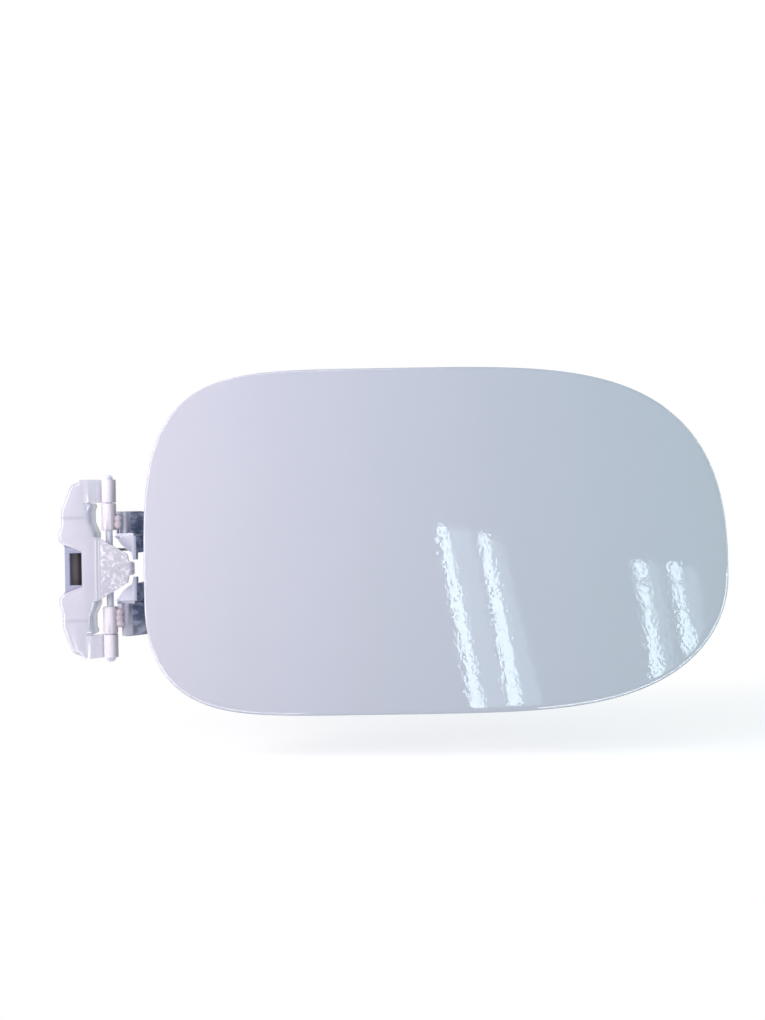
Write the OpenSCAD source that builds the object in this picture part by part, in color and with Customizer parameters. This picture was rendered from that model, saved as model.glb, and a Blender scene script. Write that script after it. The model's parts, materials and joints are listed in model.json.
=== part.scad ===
// Car fuel door: a hemmed, crowned flap on a gooseneck arm, with a pressed bracket that slides
// into the filler pocket. X runs along the flap from hinge to latch, Y runs into the car and
// Z is up. The origin is on the bracket's seat plane, behind the middle of its latch window.

/* [Flap] */
// Length of the flap from its hinge end to its latch end
flap_length = 240.6; // [200:0.1:280]
// Height of the flap
flap_height = 142.8; // [120:0.1:170]
// Distance from the pin to the flap's near edge
flap_offset = 19.6; // [17:0.1:26]
// Height of the flap's middle above the middle of the hinge
flap_rise = 10.2; // [4:0.1:20]
// Distance from the pin out to the crown of the flap's face
face_reach = 27; // [25:0.1:34]
// Radius of the face's crown along the flap
crown_long_r = 2600; // [1800:10:6000]
// Radius of the face's crown up the flap
crown_high_r = 900; // [700:10:3000]

/* [Flap sheets] */
// Thickness of the outer skin
skin_t = 0.75; // [0.6:0.05:1]
// Thickness of the inner panel
inner_t = 0.7; // [0.6:0.05:0.9]
// Width of the hem that is folded over the inner panel
hem_w = 8; // [6:0.1:10]
// Clearance between the inner panel and the skin inside the hem
hem_gap = 0.1; // [0.05:0.01:0.2]
// Distance from the crown of the face to the back of the inner panel's floor
pan_depth = 7.2; // [6:0.1:9]
// Width of the sloping wall between the hem and the floor
pan_wall = 4; // [3:0.1:6]
// Thickness of the bead of sealer along the hem's edge
sealer_t = 1.1; // [0.8:0.1:1.5]

/* [Hinge] */
// Diameter of the hinge pin
pin_d = 3; // [2.5:0.1:3.5]
// Running clearance of the pin in the arm's sleeves, on the radius
pin_clear = 0.05; // [0.03:0.01:0.08]
// Wall of the sleeves and of the bracket's rolled eyes
eye_wall = 1.6; // [1.2:0.1:1.8]
// Half of the bare stretch of pin between the sleeves
sleeve_in = 16.5; // [15.5:0.1:18]
// Length of one sleeve
sleeve_l = 11.6; // [10:0.1:13]
// End gap between a sleeve and the eye next to it
end_gap = 0.3; // [0.2:0.05:0.5]
// Length of one rolled eye
eye_l = 9.9; // [8:0.1:12]
// Length of pin that is headed over outside each eye
head_l = 1.9; // [1.4:0.1:2.5]
// Widening of the headed ends, on the radius
head_lip = 0.45; // [0.3:0.05:0.6]

/* [Bracket] */
// Thickness of the bracket's sheet
bracket_t = 1.6; // [1.2:0.1:1.8]
// Depth of the bracket from its face to its seat
bracket_depth = 10; // [9:0.1:12]
// Distance from the pin out to the bracket's face
bracket_reach = 5.9; // [5.7:0.1:6.2]
// Outside radius of the bracket's bent edges
bend_r = 2.2; // [2:0.1:2.6]
// Distance from the pin back to the middle of the latch window
window_back = 14; // [13.6:0.1:14.4]
// Width of the latch window
window_w = 5.2; // [4.6:0.1:5.6]
// Height of the latch window
window_h = 13.8; // [12:0.1:15]
// Depth of the pocket that the latch window lies in
pocket_depth = 3; // [2:0.1:3.5]
// Half of the tongue's width at its root
tongue_half = 13.6; // [12.6:0.1:13.8]
// Reach of the tongue past the pin
tongue_reach = 11.6; // [10:0.1:12]
// Step of the tongue below the bracket's face
tongue_step = 1; // [0.6:0.1:1.2]

/* [Arm] */
// Thickness of the arm's sheet
arm_t = 1.6; // [1.2:0.1:1.8]
// Half of the arm's width across its gooseneck
arm_half = 22.2; // [21:0.1:24]
// Depth of the gooseneck behind the pin
neck_depth = 17; // [15:0.1:20]
// Distance from the pin to the far side of the gooseneck
neck_reach = 39.5; // [38:0.1:44]
// Length of the foot that is welded to the inner panel
foot_l = 47; // [35:0.1:60]
// Depth of the flanges along the arm's edges
flange_h = 5; // [3:0.1:6]
// Half of the height of the window that the tongue passes through
slot_half = 6.6; // [6:0.1:7.5]
// Reach of the two wings past the pin
wing_reach = 12.4; // [12:0.1:13.5]
// Width of the ear below the arm's lower strap
ear_w = 7.2; // [6:0.1:10]

/* [Spring] */
// Diameter of the spring wire
wire_d = 1.2; // [0.9:0.1:1.3]
// Clearance of the coil round the pin, on the radius
coil_clear = 0.3; // [0.2:0.05:0.4]
// Number of turns in the coil
turns = 12; // [8:1:13]

/* [Latch end] */
// Distance of the striker from the flap's far edge
striker_inset = 24; // [21:0.1:32]
// Width of the striker
striker_w = 18; // [15:0.1:24]
// Thickness of the striker's sheet
striker_t = 1.6; // [1.2:0.1:2]
// Height of the striker above the inner panel
striker_h = 22; // [20:0.1:26]
// Length of the striker's foot
striker_foot = 20; // [17:0.1:24]
// Width of the window that the lock pin enters
catch_w = 9; // [7:0.1:11]
// Height of the window that the lock pin enters
catch_h = 8; // [6:0.1:9]
// Diameter of a rivet
rivet_d = 3.2; // [2.8:0.1:4]

/* [Buffers and cap hook] */
// Diameter of a rubber buffer
buffer_d = 13; // [10:0.1:16]
// Height of a rubber buffer
buffer_h = 7; // [5:0.1:9]
// Diameter of a buffer's neck in its hole
buffer_neck = 6; // [5:0.1:7]
// Distance of the buffers from the flap's far edge
buffer_inset = 47; // [40:0.1:60]
// Clearance between a buffer and the foot of the flap's sloping wall
buffer_clear = 2.2; // [1.6:0.1:5]
// Distance from the flap's near edge to the cap hook
hook_offset = 122; // [110:0.1:140]
// Length of the cap hook's base
hook_l = 34; // [28:0.1:40]
// Width of the cap hook
hook_w = 12; // [10:0.1:16]
// Height of the cap hook
hook_h = 13; // [11:0.1:16]
// Thickness of the cap hook
hook_t = 2.4; // [2:0.1:3]
// Diameter of the cap hook's push-in stud
stud_d = 6; // [5:0.1:7]

/* [Hidden] */
eps = 0.01;
touch = 0.02;
$fn = 64;

paint = [0.80, 0.80, 0.87];
raw_steel = [0.55, 0.55, 0.58];
spring_steel = [0.20, 0.20, 0.22];
sealer = [0.70, 0.70, 0.75];
rubber = [0.08, 0.08, 0.09];
plastic = [0.12, 0.12, 0.13];

// Flap outline: four quarter curves that meet at the outline's highest, lowest, nearest and
// farthest points. Each has an exponent along X and one along Z.
top_share = 0.406;
bottom_share = 0.436;
near_share = 0.337;
far_share = 0.386;
far_top = [4.03, 2.69];
near_top = [4.47, 3.94];
near_bottom = [5.63, 2.28];
far_bottom = [4.01, 2.0];
steep_steps = 9;
flat_steps = 13;

flap_x0 = flap_offset;
flap_x1 = flap_offset + flap_length;
flap_z0 = flap_rise - flap_height / 2;
flap_z1 = flap_rise + flap_height / 2;
flap_mid = [(flap_x0 + flap_x1) / 2, flap_rise];
top_x = flap_x0 + top_share * flap_length;
bottom_x = flap_x0 + bottom_share * flap_length;
near_z = flap_z0 + near_share * flap_height;
far_z = flap_z0 + far_share * flap_height;

// Hem section: the sheets lie inside a fold whose outside radius is half of its thickness.
hem_t = 2 * skin_t + inner_t + 2 * hem_gap;
hem_r = hem_t / 2;
rim_top = skin_t + hem_gap;
rim_back = rim_top + inner_t;
rim_w = hem_w + 3.2;
floor_y = pan_depth - face_reach;

// Hinge: radii and the ends of the sleeves and eyes, up the pin from its middle.
pin_r = pin_d / 2;
sleeve_bore = pin_r + pin_clear;
eye_r = pin_r + eye_wall;
eye_mid = pin_r + eye_wall / 2;
sleeve_out = sleeve_in + sleeve_l;
eye_in = sleeve_out + end_gap;
eye_out = eye_in + eye_l;

// Spring: the coil's radius, its length and the angles at which its two legs leave it.
coil_r = pin_r + coil_clear + wire_d / 2;
coil_pitch = wire_d * 1.12;
coil_half = turns * coil_pitch / 2;

// Bracket levels along Y, from the pin.
face_y = -bracket_reach;
face_mid = face_y + bracket_t / 2;
seat_y = face_y + bracket_depth;
tongue_mid = face_mid + tongue_step;
pocket_y = face_y + pocket_depth;
pocket_half = window_h / 2 + 1.6;
pocket_flare = 0.28;
pocket_x = window_w / 2 + 0.9 - window_back;
root_drop = 0.25;
nose_half = 6;
tip_half = 2.6;

// Arm levels along Y, and the ends of its straps up the pin.
foot_mid = floor_y + arm_t / 2;
strap_mid = arm_t / 2;
wing_mid = -1.8;
strap_in = sleeve_in + 0.4;
strap_out = strap_in + 7.6;
wing_out = sleeve_in - 1.4;

// Unit vector, the vector a quarter turn to its left, and the shared part of two offsets
function unit(v) = v / norm(v);
function left_of(v) = [-v[1], v[0]];
function miter(a, b) = (a + b) / (1 + a * b);

// Points of the arc that rounds the corner b between a and c
function corner_arc(a, b, c, r, n) =
    let (u = unit(a - b), v = unit(c - b), half = acos(u * v) / 2,
         s = b + u * r / tan(half), e = b + v * r / tan(half),
         m = b + unit(u + v) * r / sin(half), swing = 180 - 2 * half)
    [for (k = [0:n]) m + (sin(swing * (1 - k / n)) * (s - m) + sin(swing * k / n) * (e - m)) / sin(swing)];

// An open path and a closed outline with rounded corners; radii has one value for each corner
function soft_path(p, radii, n = 6) = concat([p[0]],
    [for (i = [1:len(p) - 2]) each corner_arc(p[i - 1], p[i], p[i + 1], radii[i - 1], n)],
    [p[len(p) - 1]]);
function soft_loop(p, radii, n = 5) = let (c = len(p))
    [for (i = [0:c - 1]) each corner_arc(p[(i + c - 1) % c], p[i], p[(i + 1) % c], radii[i], n)];

// Offset of an open path to its left, and inset of a closed counter-clockwise outline
function beside(p, d) = let (last = len(p) - 1)
    [for (i = [0:last]) let (before = left_of(unit(p[max(i, 1)] - p[max(i, 1) - 1])),
                             after = left_of(unit(p[min(i, last - 1) + 1] - p[min(i, last - 1)])))
        p[i] + d * miter(before, after)];
function inset(p, d) = let (c = len(p))
    [for (i = [0:c - 1]) p[i] + d * miter(left_of(unit(p[i] - p[(i + c - 1) % c])),
                                          left_of(unit(p[(i + 1) % c] - p[i])))];
function reversed(p) = [for (i = [len(p) - 1:-1:0]) p[i]];
function mirrored(p) = [for (q = reversed(p)) [q[0], -q[1]]];

// Section of a sheet of thickness t along a path, from one offset to another
function band(p, from, to) = concat(beside(p, from), reversed(beside(p, to)));
function sheet(p, t) = band(p, t / 2, -t / 2);

// A shape in X and Y that is extruded along the pin, and one in X and Z extruded into the car
module along_pin(z0, z1) { translate([0, 0, z0]) linear_extrude(z1 - z0) children(); }
module into_car(y0, y1) { translate([0, y1, 0]) rotate([90, 0, 0]) linear_extrude(y1 - y0) children(); }
module both_ends() { children(); mirror([0, 0, 1]) children(); }
module at_pin() { translate([window_back, -seat_y, 0]) children(); }

// Solid through a list of rings with equal numbers of points, closed at both ends or on itself
module through_rings(rings, closed = false) {
    n = len(rings[0]);
    count = len(rings);
    last = closed ? count - 1 : count - 2;
    sides = [for (i = [0:last], j = [0:n - 1]) let (k = (i + 1) % count, m = (j + 1) % n)
        [i * n + j, i * n + m, k * n + m, k * n + j]];
    halves = [for (q = sides) each [[q[0], q[1], q[2]], [q[0], q[2], q[3]]]];
    ends = closed ? [] : [[for (j = [n - 1:-1:0]) j], [for (j = [0:n - 1]) (count - 1) * n + j]];
    polyhedron(points = [for (r = rings) each r], faces = concat(halves, ends), convexity = 6);
}

// Flap outline, counter-clockwise from its far point, as points in X and Z
// Each quarter is stepped evenly in Z along its steep part and evenly in X along its flat part
function steep(side, up, p) = let (v45 = pow(sin(45), 2 / p[1]))
    [for (k = [0:steep_steps - 1]) let (v = v45 * k / steep_steps)
        [side * pow(1 - pow(v, p[1]), 1 / p[0]), up * v]];
function flat(side, up, p) = let (u45 = pow(cos(45), 2 / p[0]))
    [for (k = [0:flat_steps - 1]) let (u = u45 * (1 - k / flat_steps))
        [side * u, up * pow(1 - pow(u, p[0]), 1 / p[1])]];
function rising(side, up, p) = concat(steep(side, up, p), flat(side, up, p));
function falling(side, up, p) = concat([[0, up]], reversed(flat(side, up, p)),
    [for (q = reversed(steep(side, up, p))) if (q[1] != 0) q]);
function flap_outline() = concat(
    [for (q = rising(flap_x1 - top_x, flap_z1 - far_z, far_top)) [top_x, far_z] + q],
    [for (q = falling(flap_x0 - top_x, flap_z1 - near_z, near_top)) [top_x, near_z] + q],
    [for (q = rising(flap_x0 - bottom_x, flap_z0 - near_z, near_bottom)) [bottom_x, near_z] + q],
    [for (q = falling(flap_x1 - bottom_x, flap_z0 - far_z, far_bottom)) [bottom_x, far_z] + q]);
outline = flap_outline();
function edge_z(x, from_x, edge, p) = far_z
    + (edge - far_z) * pow(1 - pow((x - from_x) / (flap_x1 - from_x), p[0]), 1 / p[1]);

// Crown of the face, and a ring of the flap that is set in from its outline or drawn to its middle
function crown(p) = -face_reach + pow(p[0] - flap_mid[0], 2) / (2 * crown_long_r)
    + pow(p[1] - flap_mid[1], 2) / (2 * crown_high_r);
function shrunk(share) = [for (p = outline) flap_mid + share * (p - flap_mid)];
function on_crown(p2, depth) = [for (p = p2) [p[0], crown(p) + depth, p[1]]];
function at_level(p2, y) = [for (p = p2) [p[0], y, p[1]]];
function hem_ring(q) = on_crown(inset(outline, q[0]), q[1]);
function fold(r, from, to, n) = [for (k = [0:n]) let (a = from + (to - from) * k / n)
    [hem_r - r * sin(a), hem_r - r * cos(a)]];
face_shares = [0.3, 0.55, 0.75, 0.9];
middle_share = 0.1;

// Outer skin: a crowned face whose edge is folded over the rim of the inner panel
module outer_panel() {
    front = concat([at_level(shrunk(middle_share), -face_reach)],
                   [for (s = face_shares) on_crown(shrunk(s), 0)]);
    rolled = [for (q = fold(hem_r, 0, 180, 7)) hem_ring(q)];
    flange = [hem_ring([hem_w, hem_t]), hem_ring([hem_w, hem_t - skin_t])];
    unrolled = [for (q = fold(hem_r - skin_t, 180, 0, 4)) hem_ring(q)];
    back = concat([for (s = reversed(face_shares)) on_crown(shrunk(s), skin_t)],
                  [at_level(shrunk(middle_share), skin_t - face_reach)]);
    color(paint) at_pin() through_rings(concat(front, rolled, flange, unrolled, back));
}

// Places on the inner panel's floor of what it carries
floor_from = rim_w + pan_wall;
buffer_x = flap_x1 - buffer_inset;
buffer_set = floor_from + buffer_d / 2 + buffer_clear;
buffer_zs = [edge_z(buffer_x, top_x, flap_z1, far_top) - buffer_set,
             edge_z(buffer_x, bottom_x, flap_z0, far_bottom) + buffer_set];
hook_x = flap_x0 + hook_offset;
stud_x = hook_x + hook_l - stud_d;
striker_x = flap_x1 - striker_inset;
rivet_xs = [striker_x - striker_foot + rivet_d * 1.4, striker_x - 2.2 * rivet_d];
drain_inset = 26;
drain_holes = [[hook_x - 22, flap_z0 + drain_inset], [hook_x + 46, flap_z0 + drain_inset],
               [hook_x + 12, flap_z1 - drain_inset]];
drain_r = 3.5;
mastic_r = 5;
mastic_xs = [for (k = [0:3]) flap_x0 + flap_length * (0.24 + 0.17 * k)];
mastic_rise = flap_height * 0.19;

// Inner panel: a rim that lies in the hem, a sloping wall and a flat floor that carries the arm
module through_floor(r) { translate([0, floor_y - 3, 0]) rotate([-90, 0, 0]) cylinder(r = r, h = 6); }

module floor_plate() {
    difference() {
        polygon(inset(outline, floor_from + 1));
        for (z = buffer_zs) translate([buffer_x, z]) circle(buffer_neck / 2 + touch);
        translate([stud_x, flap_rise]) circle(stud_d / 2 + touch);
        for (x = rivet_xs) translate([x, flap_rise]) circle(rivet_d / 2 + touch);
        for (p = drain_holes) translate(p) circle(drain_r);
    }
}

module inner_panel() {
    rim_edge = hem_r + 0.2;
    front = floor_y - inner_t;
    floor_ring = inset(outline, floor_from + 1);
    rings = [at_level(floor_ring, front), at_level(inset(outline, floor_from), front),
             hem_ring([rim_w, rim_top]), hem_ring([rim_edge, rim_top]), hem_ring([rim_edge, rim_back]),
             hem_ring([rim_w - inner_t / 2, rim_back]),
             at_level(inset(outline, floor_from - inner_t / 2), floor_y), at_level(floor_ring, floor_y)];
    color(paint) at_pin() union() {
        through_rings(rings, closed = true);
        into_car(front, floor_y) floor_plate();
    }
}

// Bead of sealer over the edge of the hem, on the back of the inner panel's rim
module hem_sealer() {
    t = sealer_t;
    profile = [[hem_w + touch, hem_t - skin_t / 2], [hem_w + touch, rim_back + touch],
               [hem_w + 2.4 * t, rim_back + touch], [hem_w + 1.7 * t, rim_back + 0.75 * t],
               [hem_w + 0.5 * t, hem_t + 0.5 * t], [hem_w - 0.6 * t, hem_t + 0.45 * t],
               [hem_w - 1.3 * t, hem_t + touch], [hem_w + touch, hem_t + touch]];
    color(sealer) at_pin() through_rings([for (q = profile) hem_ring(q)], closed = true);
}

// Mastic drops that damp the skin: each stands on the skin and is flattened by the inner panel
module mastic(z) {
    reach = mastic_r * 0.75;
    back = floor_y - inner_t - touch;
    color(sealer) at_pin() for (x = mastic_xs) {
        front = max([for (i = [-1, 1], j = [-1, 1]) crown([x + i * reach, z + j * reach])]) + skin_t + touch;
        translate([x, 0, z]) rotate([-90, 0, 0]) rotate_extrude() polygon([[0, front],
            [mastic_r - 0.8, front], [mastic_r, front + 1.2], [mastic_r, back - 1.2],
            [mastic_r - 0.8, back], [0, back]]);
    }
}
module mastic_upper() { mastic(flap_rise + mastic_rise); }
module mastic_lower() { mastic(flap_rise - mastic_rise); }

// Arm: its path from the sleeves round the gooseneck to the foot on the inner panel
foot_from = neck_reach + arm_t / 2;
foot_to = foot_from + foot_l;
strap_x = 7;
slope_x = 20;
arm_corners = [[eye_r - 0.6, strap_mid], [strap_x, strap_mid], [slope_x, neck_depth],
               [neck_reach, neck_depth], [neck_reach, foot_mid], [foot_to, foot_mid]];
arm_bends = [5, 9, 10, 4];
arm_path = soft_path(arm_corners, arm_bends, 7);
flange_path = concat([for (p = arm_path) if (p[0] > strap_x + 1 && p[1] > 0) p],
                     [[neck_reach, foot_mid + 10]]);
// The web between the straps stands forward of them, as far as a riser
riser_x = wing_reach - arm_t / 2;
riser_lean = 1.2;
riser_y = strap_mid + (riser_x + riser_lean - strap_x) * neck_depth / (slope_x - strap_x);
web_path = soft_path([[2.6, wing_mid], [riser_x, wing_mid], [riser_x + riser_lean, riser_y + 1]], [1.6], 5);
window_x = slope_x - 3.5;

ear_path = [for (p = arm_path) if (p[0] > 4.2 && p[0] < slope_x - 1) p];
flange_lap = 0.5;
ear_drop = 0.9;

// Blank of the arm in X and Z: straps as long as the welds, the gooseneck and the foot
module arm_blank() {
    w = arm_half - flange_lap;
    narrow = strap_x + 6;
    wide = strap_x + 9;
    polygon(soft_loop([[0, -strap_out], [narrow, -strap_out], [wide, -w], [foot_to, -w], [foot_to, w],
        [wide, w], [narrow, strap_out], [0, strap_out]], [0.3, 2, 2, 7, 7, 2, 2, 0.3], 5));
}

// Notch between the wings: it follows the tongue's edge round its nose to its tip, at the
// clearance that the wings need to swing past it
wing_clear = 1.1;
module wing_notch() {
    half = [[window_x, tip_half + wing_clear], [10.7, tip_half + wing_clear], [10.1, nose_half + 0.8],
            [8, nose_half + 2.1], [6, nose_half + 3.9], [5, nose_half + 5.3], [4.4, nose_half + 6.4],
            [2, wing_out - 0.6], [1, wing_out + 1]];
    polygon(concat(half, mirrored(half)));
}

module hinge_arm() {
    color(paint) at_pin() {
        arm_sheet();
        arm_web();
    }
}

module arm_sheet() {
    wall = wing_out - arm_t;
    difference() {
        union() {
            intersection() {
                along_pin(-strap_out - 1, strap_out + 1) polygon(sheet(arm_path, arm_t));
                into_car(-40, 40) arm_blank();
            }
            // Ear below the lower strap, with its outer edge turned back
            translate([0, ear_drop, 0]) along_pin(-arm_half - ear_w, -arm_half + 2)
                polygon(sheet(ear_path, arm_t));
            translate([0, ear_drop, 0]) along_pin(-arm_half - ear_w - 0.3, -arm_half - ear_w + arm_t)
                polygon(band([for (p = ear_path) if (p[0] > 5.4) p], -0.3, 4));
            // Flanges along both edges of the gooseneck
            both_ends() along_pin(arm_half - arm_t, arm_half) polygon(band(flange_path, -0.3, flange_h));
        }
        // Between the straps the sheet starts at the foot of the riser
        along_pin(-wall, wall) polygon([[-1, -9], [riser_x + 0.4, -9], [riser_x + 0.4, riser_y - 1.4],
            [riser_x - 4, 60], [-1, 60]]);
        slab(-slot_half, slot_half, x0 = -1, x1 = window_x, y0 = -9, y1 = neck_depth - 3);
        along_pin(-eye_out, eye_out) circle(eye_r + touch);
        for (x = [foot_from + 8 : 14 : foot_to - 6], z = [8 - arm_half, arm_half - 8])
            translate([x, foot_mid + arm_t / 2 - 0.3, z]) rotate([-90, 0, 0]) cylinder(r = 2.6, h = 2);
    }
}

// Web with its two wings and its riser, pressed forward of the straps, with walls at both ends
module arm_web() {
    wall = wing_out - arm_t;
    difference() {
        union() {
            along_pin(-wall - 0.4, wall + 0.4) polygon(sheet(web_path, arm_t));
            both_ends() along_pin(wall, wing_out) polygon([[3.6, wing_mid - arm_t / 2 + 0.3],
                [riser_x - 0.6, wing_mid - arm_t / 2 + 0.3], [riser_x + 1.6, riser_y - 1.4],
                [strap_x, strap_mid], [3.6, strap_mid]]);
        }
        into_car(-8, 40) wing_notch();
        // The window in the riser, behind the wings
        slab(-slot_half, slot_half, x0 = strap_x + 1, x1 = window_x, y0 = wing_mid + arm_t / 2 + 0.15);
        along_pin(-eye_out, eye_out) circle(eye_r + touch);
    }
}

// Weld between the upper sleeve and its strap: a row of overlapping drops
module weld() {
    drop_r = 1.75;
    drop_step = 2.5;
    color(paint) difference() {
        for (z = [strap_in + drop_r : drop_step : strap_out - 0.6])
            translate([eye_r + 1.2, -0.5, z]) sphere(drop_r);
        along_pin(strap_in - 3, strap_out + 3) circle(eye_r + touch);
        translate([-5, -touch, strap_in - 3]) cube([15, 5, strap_out]);
    }
}
module weld_upper() { at_pin() weld(); }
module weld_lower() { at_pin() mirror([0, 0, 1]) weld(); }

module sleeve(z0) {
    translate([0, 0, z0]) rotate_extrude() translate([sleeve_bore, 0]) polygon([[0, 0.25], [0.25, 0],
        [eye_r - sleeve_bore - 0.4, 0], [eye_r - sleeve_bore, 0.4], [eye_r - sleeve_bore, sleeve_l - 0.4],
        [eye_r - sleeve_bore - 0.4, sleeve_l], [0.25, sleeve_l], [0, sleeve_l - 0.25]]);
}
module sleeve_upper() { color(paint) at_pin() sleeve(sleeve_in); }
module sleeve_lower() { color(paint) at_pin() sleeve(-sleeve_out); }

module hinge_pin() {
    lip = pin_r + head_lip;
    tip = eye_out + head_l;
    upper = [[pin_r, eye_out + touch], [lip, eye_out + touch], [lip, tip - 0.9], [pin_r - 0.4, tip],
             [0, tip]];
    color(raw_steel) at_pin() rotate_extrude() polygon(concat(mirrored(upper), upper));
}

// Bracket: half of its outline, from the root of the tongue round the eye to the window
slot_edge = -window_back - window_w / 2 - 2.1;
waist_x = -6.7;
back_x = -19.6;
lug_x = -20.8;
half_corners = [[waist_x + 2.1, 15.4], [waist_x, 20], [waist_x, 25], [waist_x + 1.1, eye_in - 0.6],
                [-9, eye_in + 0.6], [-9, eye_out], [back_x + 4.3, eye_out - 2.2], [back_x, 25],
                [back_x, 18.5], [lug_x, 15], [lug_x, 12.4], [slot_edge, pocket_half + 1.2]];
half_radii = [2, 2.6, 1.5, 1.2, 0.8, 0.8, 3, 3, 1.2, 1.2, 1.2, 1];
bracket_corners = concat(half_corners, mirrored(half_corners));
bracket_radii = concat(half_radii, reversed(half_radii));

// Outline of the bracket set in by d: an outer corner's radius shrinks and an inner corner's grows
function bracket_ring(d) = let (q = inset(bracket_corners, d), c = len(q))
    soft_loop(q, [for (i = [0:c - 1])
        let (outer = cross(q[i] - q[(i + c - 1) % c], q[(i + 1) % c] - q[i]) > 0)
        max(0.3, bracket_radii[i] + (outer ? -d : d))], 2);

// Seat plate: its half length up the bracket and its free edge
seat_half = 30;
seat_edge = pocket_x + 0.4;

// Pressed tray: a flat face, a rounded bend and a wall that stands on the seat
module tray() {
    bend = [for (a = [0:30:90]) [bend_r * (1 - sin(a)), face_y + bend_r * (1 - cos(a))]];
    inner_bend = [for (a = [90, 0]) [bracket_t + (bend_r - bracket_t) * (1 - sin(a)),
                                     face_y + bracket_t + (bend_r - bracket_t) * (1 - cos(a))]];
    profile = concat(bend, [[0, seat_y], [bracket_t, seat_y]], inner_bend);
    through_rings([for (q = profile) at_level(bracket_ring(q[0]), q[1])], closed = true);
    into_car(face_y, face_y + bracket_t) polygon(bracket_ring(bend_r));
}

module slab(z0, z1, x0 = -40, x1 = 40, y0 = -40, y1 = 40) {
    translate([x0, y0, z0]) cube([x1 - x0, y1 - y0, z1 - z0]);
}

// Rolled eye: the sheet slopes down behind the pin, wraps round it and ends at a seam in front
function angle_of(p) = atan2(p[1], p[0]);
function ray(angle, r) = r * [cos(angle), sin(angle)];
module rolled_eye() {
    top = [-8.3, face_mid + root_drop];
    foot = 360 + angle_of(top) - acos(eye_mid / norm(top));
    along_pin(eye_in, eye_out) {
        difference() {
            circle(eye_r);
            polygon([[0, 0], ray(foot + 8, 9), ray(foot + 45, 12), ray(foot + 80, 9)]);
        }
        polygon(sheet(soft_path([[-11, top[1]], top, ray(foot, eye_mid)], [2], 6), bracket_t));
    }
}

// Pocket round the latch window, as points in X and Z at a clearance from the window's side: it is
// open at the near edge and flares towards it
function pocket_shape(grow, x0) = let (x1 = pocket_x + grow, half = pocket_half + grow)
    [[x0, -half - pocket_flare * (x1 - x0)], [x1, -half], [x1, half], [x0, half + pocket_flare * (x1 - x0)]];

// Tongue: a wide root, a nose and a narrow tip that is bent in
module tongue_outline() {
    half = [[tongue_reach, tip_half], [tongue_reach - 2.4, tip_half + 0.5], [tongue_reach - 2.9, nose_half],
            [-4, tongue_half], [-7, tongue_half]];
    polygon(soft_loop(concat(half, mirrored(half)), [1.2, 0.6, 1, 2, 0.5, 0.5, 2, 1, 0.6, 1.2], 4));
}

module tongue() {
    root = face_mid + root_drop;
    path = soft_path([[-7, root], [-5, root], [-3, tongue_mid], [tongue_reach - 1.8, tongue_mid],
                      [tongue_reach - 0.6, tongue_mid + 1.2]], [1.5, 1.5, 1], 5);
    intersection() {
        along_pin(-tongue_half, tongue_half) polygon(sheet(path, bracket_t));
        into_car(-20, 20) tongue_outline();
    }
}

module base_bracket() {
    t = bracket_t;
    wall_x = slot_edge + 0.3;
    color(paint) at_pin() difference() {
        union() {
            difference() {
                tray();
                into_car(-50, pocket_y + 0.4) polygon(pocket_shape(0.2, 2 * lug_x));
                // The wall stops short of the tongue's root and of the rolled eyes
                slab(-tongue_half + 0.4, tongue_half - 0.4, x0 = -6.8, x1 = -3,
                     y0 = face_y + t + 0.6, y1 = 20);
                both_ends() slab(eye_in - 0.2, eye_out + 1, x0 = -11, x1 = -5.4,
                                 y0 = face_y + t + 2 * root_drop, y1 = 20);
            }
            both_ends() rolled_eye();
            tongue();
            difference() {
                into_car(face_y + 0.4, pocket_y + t) polygon(pocket_shape(t, wall_x));
                into_car(-50, pocket_y) polygon(pocket_shape(0, 2 * lug_x));
            }
            // Seat plate turned inwards from the near wall, behind the window
            into_car(seat_y - t, seat_y) polygon([[wall_x, -seat_half + 5], [seat_edge - 5, -seat_half],
                [seat_edge, -seat_half], [seat_edge, seat_half], [seat_edge - 5, seat_half],
                [wall_x, seat_half - 5]]);
        }
        slab(-window_h / 2, window_h / 2, x0 = -window_back - window_w / 2,
             x1 = -window_back + window_w / 2, y1 = seat_y - t - eps);
        along_pin(-eye_out - 1, eye_out + 1) circle(pin_r + touch);
    }
}

// Torsion spring: a coil on the bare pin with one leg behind the bracket and one behind a wing
base_leg_end = [-8.5, face_y + bracket_t + wire_d / 2 + touch];
arm_leg_end = [10.4, wing_mid + arm_t / 2 + wire_d / 2 + touch];
base_angle = 360 + angle_of(base_leg_end) - acos(coil_r / norm(base_leg_end));
arm_angle = angle_of(arm_leg_end) + acos(coil_r / norm(arm_leg_end)) - 360 * turns;
coil_steps = turns * 12;
function coil_point(k) = let (a = base_angle + (arm_angle - base_angle) * k / coil_steps)
    [coil_r * cos(a), coil_r * sin(a), coil_half * (2 * k / coil_steps - 1)];
coil_route = concat([[base_leg_end[0], base_leg_end[1], -coil_half]],
                    [for (k = [0:coil_steps]) coil_point(k)],
                    [[arm_leg_end[0], arm_leg_end[1], coil_half]]);

function heading(route, i) = unit(route[min(i + 1, len(route) - 1)] - route[max(i - 1, 0)]);
module wire(route, r, sides = 8) {
    through_rings([for (i = [0:len(route) - 1])
        let (h = heading(route, i), u = unit(cross(h, [0, 0, 1])), v = cross(u, h))
        [for (k = [0:sides - 1]) route[i] + r * (cos(360 * k / sides) * u + sin(360 * k / sides) * v)]]);
}
module torsion_spring() { color(spring_steel) at_pin() wire(coil_route, wire_d / 2); }

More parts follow.
